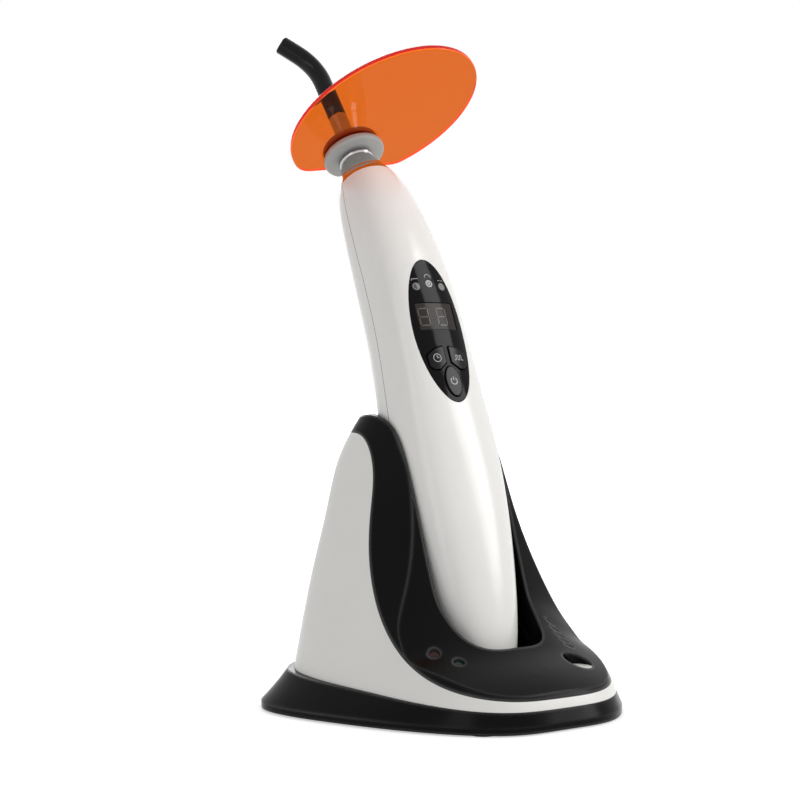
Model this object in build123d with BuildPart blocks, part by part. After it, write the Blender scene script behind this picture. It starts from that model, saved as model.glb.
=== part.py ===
"""Dental curing light: a cordless handpiece with a glass light guide and an orange
eye shield, standing in its charging base.

Millimetres, +Z up.  The origin is on the surface the base stands on, under the middle
of the base.  -Y is the front, where the control panel faces; +X is the user's right.
The handpiece lies in the plane x = 0.  It is drawn along a bent spine, and distances
along that spine are measured from the bead of the nose: positive down into the
handpiece, negative out along the light guide.
"""

from build123d import *
from math import atan2, cos, degrees, pi, radians, sin, tan
import os

os.makedirs("parts", exist_ok=True)

# ---------------------------------------------------------------- driving dimensions
# Charging base: plan of the plinth
PLINTH_HALF_WIDTH = 58.0        # at the middle of its length
PLINTH_HALF_LENGTH = 52.5
PLINTH_FLARE = 0.38             # how much wider the back is than the middle
PLINTH_EDGE = 2.4               # upright edge at the foot of the flare
FEET_PROUD = 0.5                # gap under the plinth
FOOT_RADIUS = 5.0
FOOT_RECESS = 1.0
PLINTH_SQUARENESS = 2.56        # of its front and back edges
PLINTH_SIDE_SQUARENESS = 4.1
PLINTH_FRONT_HEIGHT = 7.4
PLINTH_BACK_HEIGHT = 14.0
FLOOR_WALL = 2.4                # bottom plate of the plinth
RIM_WALL = 4.4                  # width of the rim that the housing stands on
RIM_HALF_WIDTH = 49.6           # plan of that rim, on its sloping plane
RIM_HALF_LENGTH = 51.4
RIM_FLARE = 0.30
RIM_MIDDLE = 0.3

# Charging base: housing and cradle
HOUSING_HEIGHT = 103.0          # top of the yoke behind the handpiece
HOUSING_WALL = 3.0
CRADLE_WALL = 2.0
COLLAR_DROP = 8.0               # depth of the black collar round the yoke's top
PLAN_SQUARENESS = 3.4
TROUGH_SQUARENESS = 3.0
BUTT_GAP = 0.3                  # between the handpiece's butt and the pocket's floor

# Handpiece: spine
LOWER_LEAN = 20.0               # degrees back from upright, grip
UPPER_LEAN = 36.5               # nose and light guide
BEND_Y = 44.5                   # where the two straight runs would meet
BEND_Z = 158.0
BEND_TANGENT = 36.0
NOSE_FROM_BEND = 48.8           # bead to that meeting point
HANDPIECE_LENGTH = 204.0        # bead to butt, along the spine
SHELL_WALL = 1.8
FIT_GAP = 0.4                   # between the handpiece and its cradle

# Nose, guide and shield
BEAD_RADIUS = 6.9
CONE_RADIUS = 9.5
CONE_LENGTH = 8.2
CONE_TOP = 0.6                  # upper face of the cone, in from the bead
CONE_TOP_RADIUS = 6.5
CONE_WAIST = (7.9, -4.0)        # point of its hollow side: radius, distance along the axis
BEAD_HEIGHT = 1.9
BEAD_ROUND = 0.8
GUIDE_RADIUS = 3.6
GUIDE_CORE = 2.4                # radius of the rod inside its ferrule
ORING_WIRE = 0.42
ORING_DEPTH = 10.0
GROMMET_NECK = 6.0
RUNNING = 0.05                  # radial clearance of what turns or slides on a shaft
FERRULE_REACH = 23.0            # end of the metal sleeve, out from the bead
SOCKET_DEPTH = 15.0             # how deep the guide sits in the nose
ROOT_GAP = 0.2                  # between the guide's root and the lens
GUIDE_STRAIGHT = 41.0           # bead to the start of the bend
GUIDE_BEND_RADIUS = 18.0
GUIDE_BEND_ANGLE = 50.0
GUIDE_TIP = 8.0                 # straight end past the bend
GUIDE_TIP_ROUND = 0.8
GROMMET_START = 2.2             # lower face of the grommet, out from the bead
GROMMET_FLANGE = 2.5
GROMMET_RADIUS = 12.0
GROMMET_STEP = 1.0              # how much smaller its upper flange is
GROMMET_ROUND = 0.9
SHIELD_THICKNESS = 2.3
SHIELD_LONG = 39.0              # half axes of the oval shield
SHIELD_SHORT = 31.8
SHIELD_TURN = 30.0              # degrees between the oval's long axis and the front
SHIELD_AHEAD = 19.5             # hole to the middle of the oval, along its long axis
SHIELD_ASIDE = 7.3              # and across it
SHIELD_BACK = 9.8               # hole to the straight back edge
SHIELD_BACK_TURN = -10.8        # degrees between that edge and the sideways axis
SHIELD_CORNER = 9.0
SHIELD_EDGE = 0.7

# Control panel
PANEL_DISTANCE = 80.9           # middle of the panel, along the spine
PANEL_LEAN = 21.9
PANEL_CHORD = 14.5              # plane through the panel's two ends, in front of the spine
PANEL_HALF_WIDTH = 10.8
PANEL_HALF_LENGTH = 27.9
PANEL_GAP = 0.15
BUTTON_PROUD = 0.5
BUTTON_GAP = 0.45
KEY_CORNER = 0.5
KEY_THICKNESS = 1.4
# Outline of the right-hand key on the panel's plane: x, up
KEY_CORNERS = [
    (1.2, -6.6),
    (4.8, -7.4),
    (8.2, -9.7),
    (8.0, -14.0),
    (6.3, -15.3),
    (4.4, -15.2),
    (1.2, -12.7),
]
KEY_SWITCH_X = 4.9
KEY_SWITCH_V = -11.2
POWER_V = -20.0
POWER_HALF_WIDTH = 3.1
POWER_HALF_LENGTH = 5.6
WINDOW_V = 5.4
WINDOW_WIDTH = 16.0
WINDOW_HEIGHT = 10.4
WINDOW_GAP = 0.1
WINDOW_SINK = 0.3
INDICATOR_RADIUS = 1.5
INDICATOR_SPOTS = [(-5.6, 17.2), (0.0, 18.2), (5.6, 17.2)]

# Contact pins under the handpiece
PIN_RADIUS = 1.2
PIN_HEAD = 1.0
PIN_SPACING = 7.0
PIN_TRAVEL = 1.2
PIN_GAP = 0.2                   # between a pin and the pad it touches
PIN_ROUND = 0.5                 # of the pin's head
PIN_COLLAR = 0.45               # how far the collar stands out from the pin
PIN_COLLAR_THICKNESS = 0.7
PIN_TAIL_RADIUS = 0.7
PIN_TAIL_GAP = 0.2              # under the tail when the pin is pressed home
BLOCK_LENGTH = 14.0             # contact block under the pocket's floor
BLOCK_WIDTH = 6.0
BLOCK_DEPTH = 5.0
BLOCK_FLOOR = 0.8

# Fasteners, board, lamps, light meter and inlet of the base
SCREW_RADIUS = 1.5
SCREW_HEAD_RADIUS = 2.8
SCREW_HEAD = 2.0
SCREW_BITE = 6.0                # length of screw in a column
COLUMN_RADIUS = 4.2
COLUMN_FOOT = 6.6               # height at which the columns stand on the bosses
BOSS_LIP = 0.6                  # how far a boss is wider than its column
HEAD_SINK = 0.4                 # screw heads behind the floor's underside
HEAD_GAP = 0.3
SHANK_GAP = 0.2
POST_RADIUS = 3.0
POST_INSET = 4.0                # posts in from the board's edges
SCREW_SPOTS = [(42.0, 26.0), (-42.0, 26.0), (0.0, -38.0)]
FOOT_SPOTS = [(26.0, -40.0), (-26.0, -40.0), (55.0, 36.0), (-55.0, 36.0)]
BOARD_HEIGHT = 4.0
BOARD_THICKNESS = 1.6
BOARD_HALF_WIDTH = 34.0
BOARD_FRONT = -32.0
BOARD_BACK = -2.0
LAMP_RADIUS = 1.95
LAMP_DEPTH = 1.0                # of the lamp's end below the deck
LAMP_SPOTS = {"charge_lamp": (-29.4, -17.3), "ready_lamp": (-24.5, -24.8)}
WELL_SPOT = (20.5, -33.0)       # light meter
WELL_RADIUS = 5.2
WELL_FLOOR = 15.6
WELL_LEDGE = 1.2
WELL_TALL = 34.0                # more than the deck's height above the well's floor
METER_X = 24.6
METER_BACK_Y = -12.6
METER_PITCH = 2.7
METER_SLITS = 5
METER_SPOTS = [(METER_X, METER_BACK_Y - slit * METER_PITCH) for slit in range(METER_SLITS)]
METER_BAR_HEIGHT = 8.0          # of the bar that carries the ribs, on the board
SLIT_LENGTH = 3.4
SLIT_WIDTH = 1.1
SLIT_TURN = -28.0
METER_SINK = 0.4
DIFFUSER_THICKNESS = 1.0
SENSOR_SPOT = (20.5, -27.0)     # chip that reads the light, on the board beside the well
SENSOR_WIDTH = 5.0
SENSOR_TOP = 12.6
BOARD_NOTCH_WIDTH = 16.0        # cut out of the board's back edge, round the contact block
BOARD_NOTCH_DEPTH = 14.0
JACK_HEIGHT = 22.0
JACK_RADIUS = 3.6
JACK_BODY_RADIUS = 4.6
JACK_LENGTH = 11.0
JACK_BORE = 2.8                 # radius, for a 5.5 mm plug
JACK_PIN = 1.05
JACK_SHOULDER_Y = 47.8          # where the body's shoulder meets the shell's inner side
JACK_NECK = 17.0                # longer than the neck, which ends flush with the shell
JACK_FLOOR = 5.2                # solid back end of the inlet's body

# Inside the handpiece
BOARD_SINK = 7.0                # front face of the main board behind the panel's chord
SWITCH_HEIGHT = 3.8
SWITCH_PLUNGER = 0.6
SWITCH_WIDTH = 4.6
PLUNGER_RADIUS = 1.2
BOARD_CORNER = 2.0
CHIP_WIDTH = 5.0
CHIP_HEIGHT = 1.2
CHIP_PITCH_X = 9.0
CHIP_PITCH_V = 14.0
MAIN_BOARD_HALF_WIDTH = 11.8
BOSS_X = 10.0
BOSS_V = 20.5
BOSS_RADIUS = 1.6
SWITCH_CLEARANCE = 0.3
KEY_STEM_RADIUS = 1.5
CELL_RADIUS = 9.2
CELL_TOP = 118.0                # distances along the spine
CELL_END = 183.0
CELL_EDGE = 0.8
RIB_THICKNESS = 1.6
CELL_RIBS = [
    (CELL_TOP, CELL_RADIUS - 3),
    (CELL_TOP + 14, CELL_RADIUS + RUNNING),
    (CELL_END - 12, CELL_RADIUS + RUNNING),
    (CELL_END + RIB_THICKNESS, CELL_RADIUS - 3),
]
CAVITY_TOP = 19.0
CAVITY_END = 199.0
SPIGOT_RADIUS = 8.0
SOCKET_RADIUS = 4.9             # radius of the ferrule in the nose
LENS_RADIUS = 5.9
LENS_RIM = 0.8
LENS_BULGE = 1.2
LED_THICKNESS = 3.0
LED_DOME_RADIUS = 2.0
LED_DOME_HEIGHT = 1.0
FIN_RADIUS = 9.0
FIN_PITCH = 3.4
FINS = 5
PAD_RADIUS = 2.0
PAD_THICKNESS = 1.9

# Stations of the handpiece: distance from the bead, half width, half depth, squareness
STATIONS = [
    (CONE_LENGTH, 9.7, 9.7, 2.0),
    (19.0, 13.3, 12.8, 2.1),
    (35.0, 15.8, 14.3, 2.2),
    (56.0, 17.1, 15.0, 2.4),
    (80.0, 17.8, 15.3, 2.5),
    (103.0, 19.2, 16.3, 2.5),
    (124.0, 20.2, 17.1, 2.5),
    (145.0, 19.6, 16.6, 2.5),
    (165.0, 17.9, 15.1, 2.4),
    (184.0, 15.2, 12.8, 2.3),
    (HANDPIECE_LENGTH, 10.2, 8.9, 2.2),
]
# Plan of the housing: height, half width, flare, half length, middle of its length
HOUSING_PLANS = [
    (3.0, 51.0, 0.29, 51.5, -0.2),
    (13.0, 47.3, 0.30, 50.2, 0.8),
    (30.0, 40.2, 0.40, 45.8, 6.0),
    (52.0, 31.6, 0.56, 40.4, 11.4),
    (80.0, 24.8, 0.42, 34.6, 20.2),
    (94.0, 22.3, 0.31, 28.6, 21.9),
    (HOUSING_HEIGHT + 4.0, 18.8, 0.16, 22.8, 21.8),
]
# Pocket for the handpiece: distance, half width, reach to the front and to the back
TROUGH = [
    (HANDPIECE_LENGTH + BUTT_GAP, 15.2, 17.2, 11.6),
    (184.0, 19.2, 22.0, 13.6),
    (160.0, 20.2, 21.0, 16.2),
    (140.0, 20.2 + FIT_GAP, 19.6, 17.1 + FIT_GAP),
]
# Side view of the saddle that the housing is cut to: y, z from the front edge, up the
# deck and the arms, and over the top of the yoke to its back, and how far the saddle
# has dropped away at CROWN_REACH to either side
SADDLE = [
    (-62.0, 3.0, 12.0),
    (-50.5, 12.2, 14.0),
    (-38.0, 18.3, 14.2),
    (-25.7, 23.6, 14.4),
    (-16.0, 31.6, 24.0),
    (-8.0, 41.0, 35.0),
    (-4.0, 50.5, 42.0),
    (1.3, 64.5, 53.0),
    (6.2, 78.0, 60.0),
    (11.4, 90.0, 46.0),
    (19.0, 100.3, 24.0),
    (29.0, HOUSING_HEIGHT + 0.8, 13.0),
    (38.0, HOUSING_HEIGHT + 0.2, 10.0),
    (45.0, 100.4, 10.0),
    (52.0, 95.2, 10.0),
    (66.0, 81.0, 10.0),
]
# Side view of the seam between the white housing and the black cradle
SEAM = [
    (-64.0, 9.0),
    (-47.0, 11.1),
    (-31.5, 14.2),
    (-9.8, 23.3),
    (3.0, 33.4),
    (12.5, 46.0),
    (22.0, 70.3),
    (26.0, 85.0),
    (33.0, HOUSING_HEIGHT - COLLAR_DROP - 0.6),
    (46.0, HOUSING_HEIGHT - COLLAR_DROP),
    (66.0, HOUSING_HEIGHT - COLLAR_DROP),
]

SKY = 170.0                     # clear above and beside the base, for cutting
CROWN_REACH = 62.0
TROUGH_REACH = 110.0            # the pocket's cut runs on that far above its last station
BLOCK_TOP = 160.0               # where the block round the pocket has its full size
BLOCK_CORNER = 11.0
BLOCK_FOOT_CORNER = 8.0
INNER_ROWS = (0, 2, 3, 4, 6)    # plans that the inside of the housing is lofted through
INNER_POINTS = 16

# ---------------------------------------------------------------- spine and planes
pad_depth = PIN_HEAD + PIN_GAP - BUTT_GAP
ring_groove = 2 * ORING_WIRE + RUNNING
bend_angle = radians(UPPER_LEAN - LOWER_LEAN)
bend_radius = BEND_TANGENT / tan(bend_angle / 2)
upper_run = NOSE_FROM_BEND - BEND_TANGENT
arc_end = upper_run + bend_radius * bend_angle


def lean_axis(lean):
    """Unit vector up along an axis that leans back by that many degrees."""
    return Vector(0, sin(radians(lean)), cos(radians(lean)))


nose_dir = lean_axis(UPPER_LEAN)
bead = Vector(0, BEND_Y, BEND_Z) + nose_dir * NOSE_FROM_BEND
nose_axis = Axis(bead, nose_dir)
# Section through the nose: local x is +X, local y is out along the axis
nose_section = Plane(origin=bead, x_dir=(1, 0, 0), z_dir=Vector(1, 0, 0).cross(nose_dir))


def spine_point(distance):
    """Point of the spine and its lean in degrees, that far below the bead."""
    corner = Vector(0, BEND_Y, BEND_Z)
    if distance <= upper_run:
        return corner + lean_axis(UPPER_LEAN) * (NOSE_FROM_BEND - distance), UPPER_LEAN
    if distance >= arc_end:
        down = BEND_TANGENT + distance - arc_end
        return corner - lean_axis(LOWER_LEAN) * down, LOWER_LEAN
    turned = (distance - upper_run) / bend_radius
    lean = UPPER_LEAN - degrees(turned)
    start = corner + lean_axis(UPPER_LEAN) * BEND_TANGENT
    centre = start + Vector(0, cos(radians(UPPER_LEAN)), -sin(radians(UPPER_LEAN))) * bend_radius
    return centre - Vector(0, cos(radians(lean)), -sin(radians(lean))) * bend_radius, lean


def spine_plane(distance):
    """Plane across the spine: local x is +X, local z points up towards the nose."""
    point, lean = spine_point(distance)
    return Plane(origin=point, x_dir=(1, 0, 0), z_dir=lean_axis(lean))


def nose_plane(height):
    """Plane across the nose and guide, that far out from the bead."""
    return Plane(origin=bead + nose_dir * height, x_dir=(1, 0, 0), z_dir=nose_dir)


def super_ellipse(half_x, half_y, square, flare=0.0, middle=0.0, count=20, side_square=None):
    """Points round an oval of that squareness; flare widens its +y end."""
    side_square = side_square or square
    points = []
    for step in range(count):
        angle = 2 * pi * step / count
        along, across = sin(angle), cos(angle)
        x = half_x * abs(across) ** (2 / side_square) * (1 if across >= 0 else -1)
        rise = abs(along) ** (2 / square) * (1 if along >= 0 else -1)
        points.append((x * (1 + flare * rise), middle + half_y * rise))
    return points


def handpiece_form(inset, first=None, last=None):
    """Solid form of the handpiece, drawn in by that much all round."""
    sections = []
    for distance, half_width, half_depth, square in STATIONS:
        if first is not None and distance < first:
            continue
        if last is not None and distance > last:
            continue
        with BuildSketch(spine_plane(distance)) as section:
            with BuildLine():
                Spline(*super_ellipse(half_width - inset, half_depth - inset, square), periodic=True)
            make_face()
        sections.append(section.sketch)
    return loft(sections)


def housing_form(plans, inset=0.0, count=20):
    """Solid tent of the charging base, drawn in by that much all round."""
    sections = []
    for height, half_width, flare, half_length, middle in plans:
        with BuildSketch(Plane.XY.offset(height)) as section:
            with BuildLine():
                points = super_ellipse(
                    half_width - inset / (1 + flare),
                    half_length - inset,
                    PLAN_SQUARENESS,
                    flare,
                    middle,
                    count,
                )
                Spline(*points, periodic=True)
            make_face()
        sections.append(section.sketch)
    return loft(sections)


def side_face(points, x):
    """Face of everything above a side-view line, on the plane at that x."""
    with BuildSketch(Plane.YZ.offset(x)) as side:
        with BuildLine():
            Spline(*points)
            Polyline(points[-1], (points[-1][0], SKY), (points[0][0], SKY), points[0])
        make_face()
    return side.sketch


def inward(points, depth):
    """The same side-view line, drawn in to the underside of a wall."""
    moved = []
    for number, (y, z, crown) in enumerate(points):
        before = points[max(number - 1, 0)]
        after = points[min(number + 1, len(points) - 1)]
        slope = atan2(after[1] - before[1], after[0] - before[0])
        moved.append((y + depth * sin(slope), z - depth * cos(slope), crown))
    return moved


def above_saddle(points):
    """Everything above the saddle, which drops away evenly to both sides."""
    middle = [(y, z) for y, z, crown in points]
    side = [(y, z - crown) for y, z, crown in points]
    return loft([side_face(side, -CROWN_REACH), side_face(middle, 0), side_face(side, CROWN_REACH)])


def cradle_plane(distance):
    """Plane across the straight lower run of the spine, also past the bend."""
    down = BEND_TANGENT + distance - arc_end
    point = Vector(0, BEND_Y, BEND_Z) - lean_axis(LOWER_LEAN) * down
    return Plane(origin=point, x_dir=(1, 0, 0), z_dir=lean_axis(LOWER_LEAN))


def trough_form():
    """The pocket that takes the handpiece, open at its top."""
    sections = []
    for distance, half_width, front, back in TROUGH:
        with BuildSketch(cradle_plane(distance)) as section:
            with BuildLine():
                points = super_ellipse(
                    half_width, (front + back) / 2, TROUGH_SQUARENESS, middle=(back - front) / 2
                )
                Spline(*points, periodic=True)
            make_face()
        sections.append(section.sketch)
    return loft(sections) + extrude(sections[-1], TROUGH_REACH)


def block_section(distance, half_width, front, back, corner):
    """Section of the block round the pocket, a wall outside those sizes."""
    with BuildSketch(cradle_plane(distance)) as section:
        with Locations((0, (back - front) / 2)):
            RectangleRounded(2 * (half_width + CRADLE_WALL), front + back + 2 * CRADLE_WALL, corner)
    return section.sketch


def block_form():
    """The plain block round the pocket, inside the housing."""
    floor_distance, floor_width, floor_front, floor_back = TROUGH[0]
    widest_front = max(front for distance, width, front, back in TROUGH)
    foot = block_section(
        floor_distance + CRADLE_WALL, floor_width, floor_front, floor_back, BLOCK_FOOT_CORNER
    )
    top = block_section(BLOCK_TOP, TROUGH[-1][1], widest_front, TROUGH[-1][3], BLOCK_CORNER)
    return loft([foot, top]) + extrude(top, TROUGH_REACH)


def plinth_form(inset):
    """Solid form of the plinth: an upright edge, then a flare up to the housing."""
    with BuildPart() as form:
        with BuildSketch(Plane.XY.offset(FEET_PROUD)):
            with BuildLine():
                Spline(
                    *super_ellipse(
                        PLINTH_HALF_WIDTH - inset,
                        PLINTH_HALF_LENGTH - inset,
                        PLINTH_SQUARENESS,
                        PLINTH_FLARE,
                        side_square=PLINTH_SIDE_SQUARENESS,
                    ),
                    periodic=True,
                )
            make_face()
        foot = extrude(amount=PLINTH_EDGE)
        top_face = foot.faces().sort_by(Axis.Z)[-1]
        with BuildSketch(plinth_top) as seat:
            with BuildLine():
                Spline(
                    *super_ellipse(
                        RIM_HALF_WIDTH - inset,
                        RIM_HALF_LENGTH - inset,
                        PLAN_SQUARENESS,
                        RIM_FLARE,
                        RIM_MIDDLE,
                    ),
                    periodic=True,
                )
            make_face()
        loft([top_face, seat.sketch.face()])
    return form.part


plinth_rise = PLINTH_BACK_HEIGHT - PLINTH_FRONT_HEIGHT
plinth_tilt = atan2(plinth_rise, 2 * PLINTH_HALF_LENGTH)
plinth_top = Plane(
    origin=(0, 0, PLINTH_FRONT_HEIGHT + plinth_rise / 2),
    x_dir=(1, 0, 0),
    z_dir=(0, -sin(plinth_tilt), cos(plinth_tilt)),
)
floor_top = FEET_PROUD + FLOOR_WALL
board_top = BOARD_HEIGHT + BOARD_THICKNESS

# ---------------------------------------------------------------- forms of the base
outer_form = housing_form(HOUSING_PLANS) - above_saddle(SADDLE)
outer_form = split(outer_form, bisect_by=plinth_top, keep=Keep.TOP)
inner_form = housing_form([HOUSING_PLANS[row] for row in INNER_ROWS], HOUSING_WALL, INNER_POINTS)
pocket_floor = HANDPIECE_LENGTH + BUTT_GAP
trough = trough_form()
above_seam = extrude(side_face(SEAM, 0), CROWN_REACH, both=True)
pocket_block = block_form() & inner_form
below_cradle = Box(2 * SKY, 2 * SKY, 2 * SKY) - above_seam - pocket_block


def columns(spots, top):
    """Screw columns from their feet up to whatever is above them."""
    with BuildPart() as group:
        with BuildSketch(Plane.XY.offset(COLUMN_FOOT)):
            with Locations(*spots):
                Circle(COLUMN_RADIUS)
        extrude(amount=top)
        add(outer_form, mode=Mode.INTERSECT)
    return group.part


rear_columns = columns(SCREW_SPOTS[:2], SKY)
front_columns = columns(SCREW_SPOTS[2:], WELL_TALL)
with BuildPart() as screw_bores:
    with BuildSketch(Plane.XY.offset(COLUMN_FOOT)):
        with Locations(*SCREW_SPOTS):
            Circle(SCREW_RADIUS + RUNNING)
    extrude(amount=SCREW_BITE + RUNNING)
inlet_plane = Plane(origin=(0, JACK_SHOULDER_Y, JACK_HEIGHT), x_dir=(1, 0, 0), z_dir=(0, -1, 0))
plinth_cavity = split(plinth_form(RIM_WALL), bisect_by=Plane.XY.offset(floor_top), keep=Keep.TOP)
plinth_outside = plinth_form(0)
above_lamps = above_saddle(inward(SADDLE, LAMP_DEPTH))
above_meter = above_saddle(inward(SADDLE, METER_SINK))

# ---------------------------------------------------------------- charging base
with BuildPart() as base_plate:
    add(plinth_outside)
    add(plinth_cavity, mode=Mode.SUBTRACT)
    # screw bosses, and posts under the board
    with BuildSketch(Plane.XY.offset(floor_top)):
        with Locations(*SCREW_SPOTS):
            Circle(COLUMN_RADIUS + BOSS_LIP)
    extrude(amount=COLUMN_FOOT - floor_top)
    with BuildSketch(Plane(origin=(0, (BOARD_BACK + BOARD_FRONT) / 2, floor_top))):
        with GridLocations(
            2 * (BOARD_HALF_WIDTH - POST_INSET), BOARD_BACK - BOARD_FRONT - 2 * POST_INSET, 2, 2
        ):
            Circle(POST_RADIUS)
    extrude(amount=BOARD_HEIGHT - floor_top)
    # screws come up through the floor, heads sunk
    with BuildSketch(Plane.XY.offset(FEET_PROUD)):
        with Locations(*SCREW_SPOTS):
            Circle(SCREW_HEAD_RADIUS + HEAD_GAP)
    extrude(amount=SCREW_HEAD + HEAD_SINK, mode=Mode.SUBTRACT)
    with BuildSketch(Plane.XY.offset(FEET_PROUD)):
        with Locations(*SCREW_SPOTS):
            Circle(SCREW_RADIUS + SHANK_GAP)
    extrude(amount=COLUMN_FOOT, mode=Mode.SUBTRACT)
    with BuildSketch(Plane.XY.offset(FEET_PROUD)):
        with Locations(*FOOT_SPOTS):
            Circle(FOOT_RADIUS + RUNNING)
    extrude(amount=FOOT_RECESS, mode=Mode.SUBTRACT)
base_plate.part.label = "base_plate"
export_step(base_plate.part, "parts/base_plate.step")

with BuildPart() as rubber_feet:
    with BuildSketch(Plane.XY):
        with Locations(*FOOT_SPOTS):
            Circle(FOOT_RADIUS)
    extrude(amount=FEET_PROUD + FOOT_RECESS)
rubber_feet.part.label = "rubber_feet"
export_step(rubber_feet.part, "parts/rubber_feet.step")

with BuildPart() as base_screws:
    head_seat = FEET_PROUD + SCREW_HEAD + HEAD_SINK
    with BuildSketch(Plane.XY.offset(head_seat)):
        with Locations(*SCREW_SPOTS):
            Circle(SCREW_HEAD_RADIUS)
    extrude(amount=-SCREW_HEAD)
    with BuildSketch(Plane.XY.offset(head_seat)):
        with Locations(*SCREW_SPOTS):
            Circle(SCREW_RADIUS)
    extrude(amount=COLUMN_FOOT + SCREW_BITE - head_seat)
base_screws.part.label = "base_screws"
export_step(base_screws.part, "parts/base_screws.step")

with BuildPart() as base_shell:
    add(outer_form)
    add(above_seam, mode=Mode.SUBTRACT)
    add(inner_form, mode=Mode.SUBTRACT)
    add(rear_columns)
    add(screw_bores.part, mode=Mode.SUBTRACT)
    # hole for the neck of the inlet
    with BuildSketch(inlet_plane):
        Circle(JACK_RADIUS + RUNNING)
    extrude(amount=-JACK_NECK, mode=Mode.SUBTRACT)
base_shell.part.label = "base_shell"
export_step(base_shell.part, "parts/base_shell.step")

# the well of the light meter, with a ledge for its diffuser, hangs under the deck
with BuildPart() as under_deck:
    with BuildSketch(Plane.XY.offset(WELL_FLOOR - CRADLE_WALL)):
        with Locations(WELL_SPOT):
            Circle(WELL_RADIUS + CRADLE_WALL)
    extrude(amount=WELL_TALL)
    add(front_columns)
    add(outer_form, mode=Mode.INTERSECT)

# all that is cut into the deck: the pocket, the well, two lamp wells, the slits of the
# meter's bar, the front screw's bore, and those of the contact pins in the pocket's floor
with BuildPart() as deck_cuts:
    add(trough)
    add(screw_bores.part)
    with BuildSketch(Plane.XY.offset(WELL_FLOOR)):
        with Locations(WELL_SPOT):
            Circle(WELL_RADIUS)
        with Locations(*LAMP_SPOTS.values()):
            Circle(LAMP_RADIUS + RUNNING)
        with Locations(*METER_SPOTS):
            SlotOverall(SLIT_LENGTH, SLIT_WIDTH, rotation=SLIT_TURN)
    extrude(amount=WELL_TALL)
    with BuildSketch(Plane.XY.offset(WELL_FLOOR - CRADLE_WALL)):
        with Locations(WELL_SPOT):
            Circle(WELL_RADIUS - WELL_LEDGE)
    extrude(amount=CRADLE_WALL)
    with BuildSketch(cradle_plane(pocket_floor + CRADLE_WALL)):
        with GridLocations(PIN_SPACING, 1, 2, 1):
            Circle(PIN_RADIUS + RUNNING)
    extrude(amount=2 * CRADLE_WALL)

with BuildPart() as cradle:
    add(outer_form)
    add(below_cradle, mode=Mode.SUBTRACT)
    add(under_deck.part)
    add(deck_cuts.part, mode=Mode.SUBTRACT)
cradle.part.label = "cradle"
export_step(cradle.part, "parts/cradle.step")

for lamp_name, spot in LAMP_SPOTS.items():
    with BuildPart() as lamp:
        with BuildSketch(Plane.XY.offset(board_top)):
            with Locations(spot):
                Circle(LAMP_RADIUS)
        extrude(amount=WELL_TALL)
        add(above_lamps, mode=Mode.SUBTRACT)
    lamp.part.label = lamp_name
    export_step(lamp.part, f"parts/{lamp_name}.step")

with BuildPart() as meter_bar:
    with BuildSketch(Plane.XY.offset(board_top)):
        with Locations(METER_SPOTS[METER_SLITS // 2]):
            Rectangle(SLIT_LENGTH, METER_SLITS * METER_PITCH)
    extrude(amount=METER_BAR_HEIGHT)
    with BuildSketch(Plane.XY.offset(board_top)):
        with Locations(*METER_SPOTS):
            SlotOverall(SLIT_LENGTH - 2 * RUNNING, SLIT_WIDTH - 2 * RUNNING, rotation=SLIT_TURN)
    ribs = extrude(amount=WELL_TALL, mode=Mode.PRIVATE)
    add(ribs - above_meter)
meter_bar.part.label = "meter_bar"
export_step(meter_bar.part, "parts/meter_bar.step")

with BuildPart() as sensor_diffuser:
    with BuildSketch(Plane.XY.offset(WELL_FLOOR)):
        with Locations(WELL_SPOT):
            Circle(WELL_RADIUS - RUNNING)
    extrude(amount=DIFFUSER_THICKNESS)
sensor_diffuser.part.label = "sensor_diffuser"
export_step(sensor_diffuser.part, "parts/sensor_diffuser.step")

with BuildPart() as stand_board:
    with BuildSketch(Plane.XY.offset(BOARD_HEIGHT)):
        with Locations((0, (BOARD_FRONT + BOARD_BACK) / 2)):
            Rectangle(2 * BOARD_HALF_WIDTH, BOARD_BACK - BOARD_FRONT)
        with Locations((0, BOARD_BACK)):
            Rectangle(BOARD_NOTCH_WIDTH, 2 * BOARD_NOTCH_DEPTH, mode=Mode.SUBTRACT)
    extrude(amount=BOARD_THICKNESS)
    with BuildSketch(Plane.XY.offset(board_top)):
        with Locations(SENSOR_SPOT):
            Rectangle(SENSOR_WIDTH, SENSOR_WIDTH)
    extrude(amount=SENSOR_TOP - board_top)
stand_board.part.label = "stand_board"
export_step(stand_board.part, "parts/stand_board.step")

with BuildPart() as dc_jack:
    with BuildSketch(inlet_plane):
        Circle(JACK_BODY_RADIUS)
    extrude(amount=JACK_LENGTH)
    with BuildSketch(inlet_plane):
        Circle(JACK_RADIUS)
    extrude(amount=-JACK_NECK)
    add(outer_form, mode=Mode.INTERSECT)
    with BuildSketch(inlet_plane.offset(JACK_LENGTH - JACK_FLOOR)):
        Circle(JACK_BORE)
        Circle(JACK_PIN, mode=Mode.SUBTRACT)
    extrude(amount=-JACK_LENGTH - JACK_NECK, mode=Mode.SUBTRACT)
dc_jack.part.label = "dc_jack"
export_step(dc_jack.part, "parts/dc_jack.step")

block_plane = cradle_plane(pocket_floor + CRADLE_WALL)
pin_bore = PIN_RADIUS + PIN_COLLAR
with BuildPart() as contact_block:
    with BuildSketch(block_plane):
        Rectangle(BLOCK_LENGTH, BLOCK_WIDTH)
    extrude(amount=-BLOCK_DEPTH)
    with BuildSketch(block_plane):
        with GridLocations(PIN_SPACING, 1, 2, 1):
            Circle(pin_bore)
    extrude(amount=-(BLOCK_DEPTH - BLOCK_FLOOR), mode=Mode.SUBTRACT)
contact_block.part.label = "contact_block"
export_step(contact_block.part, "parts/contact_block.step")

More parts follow.
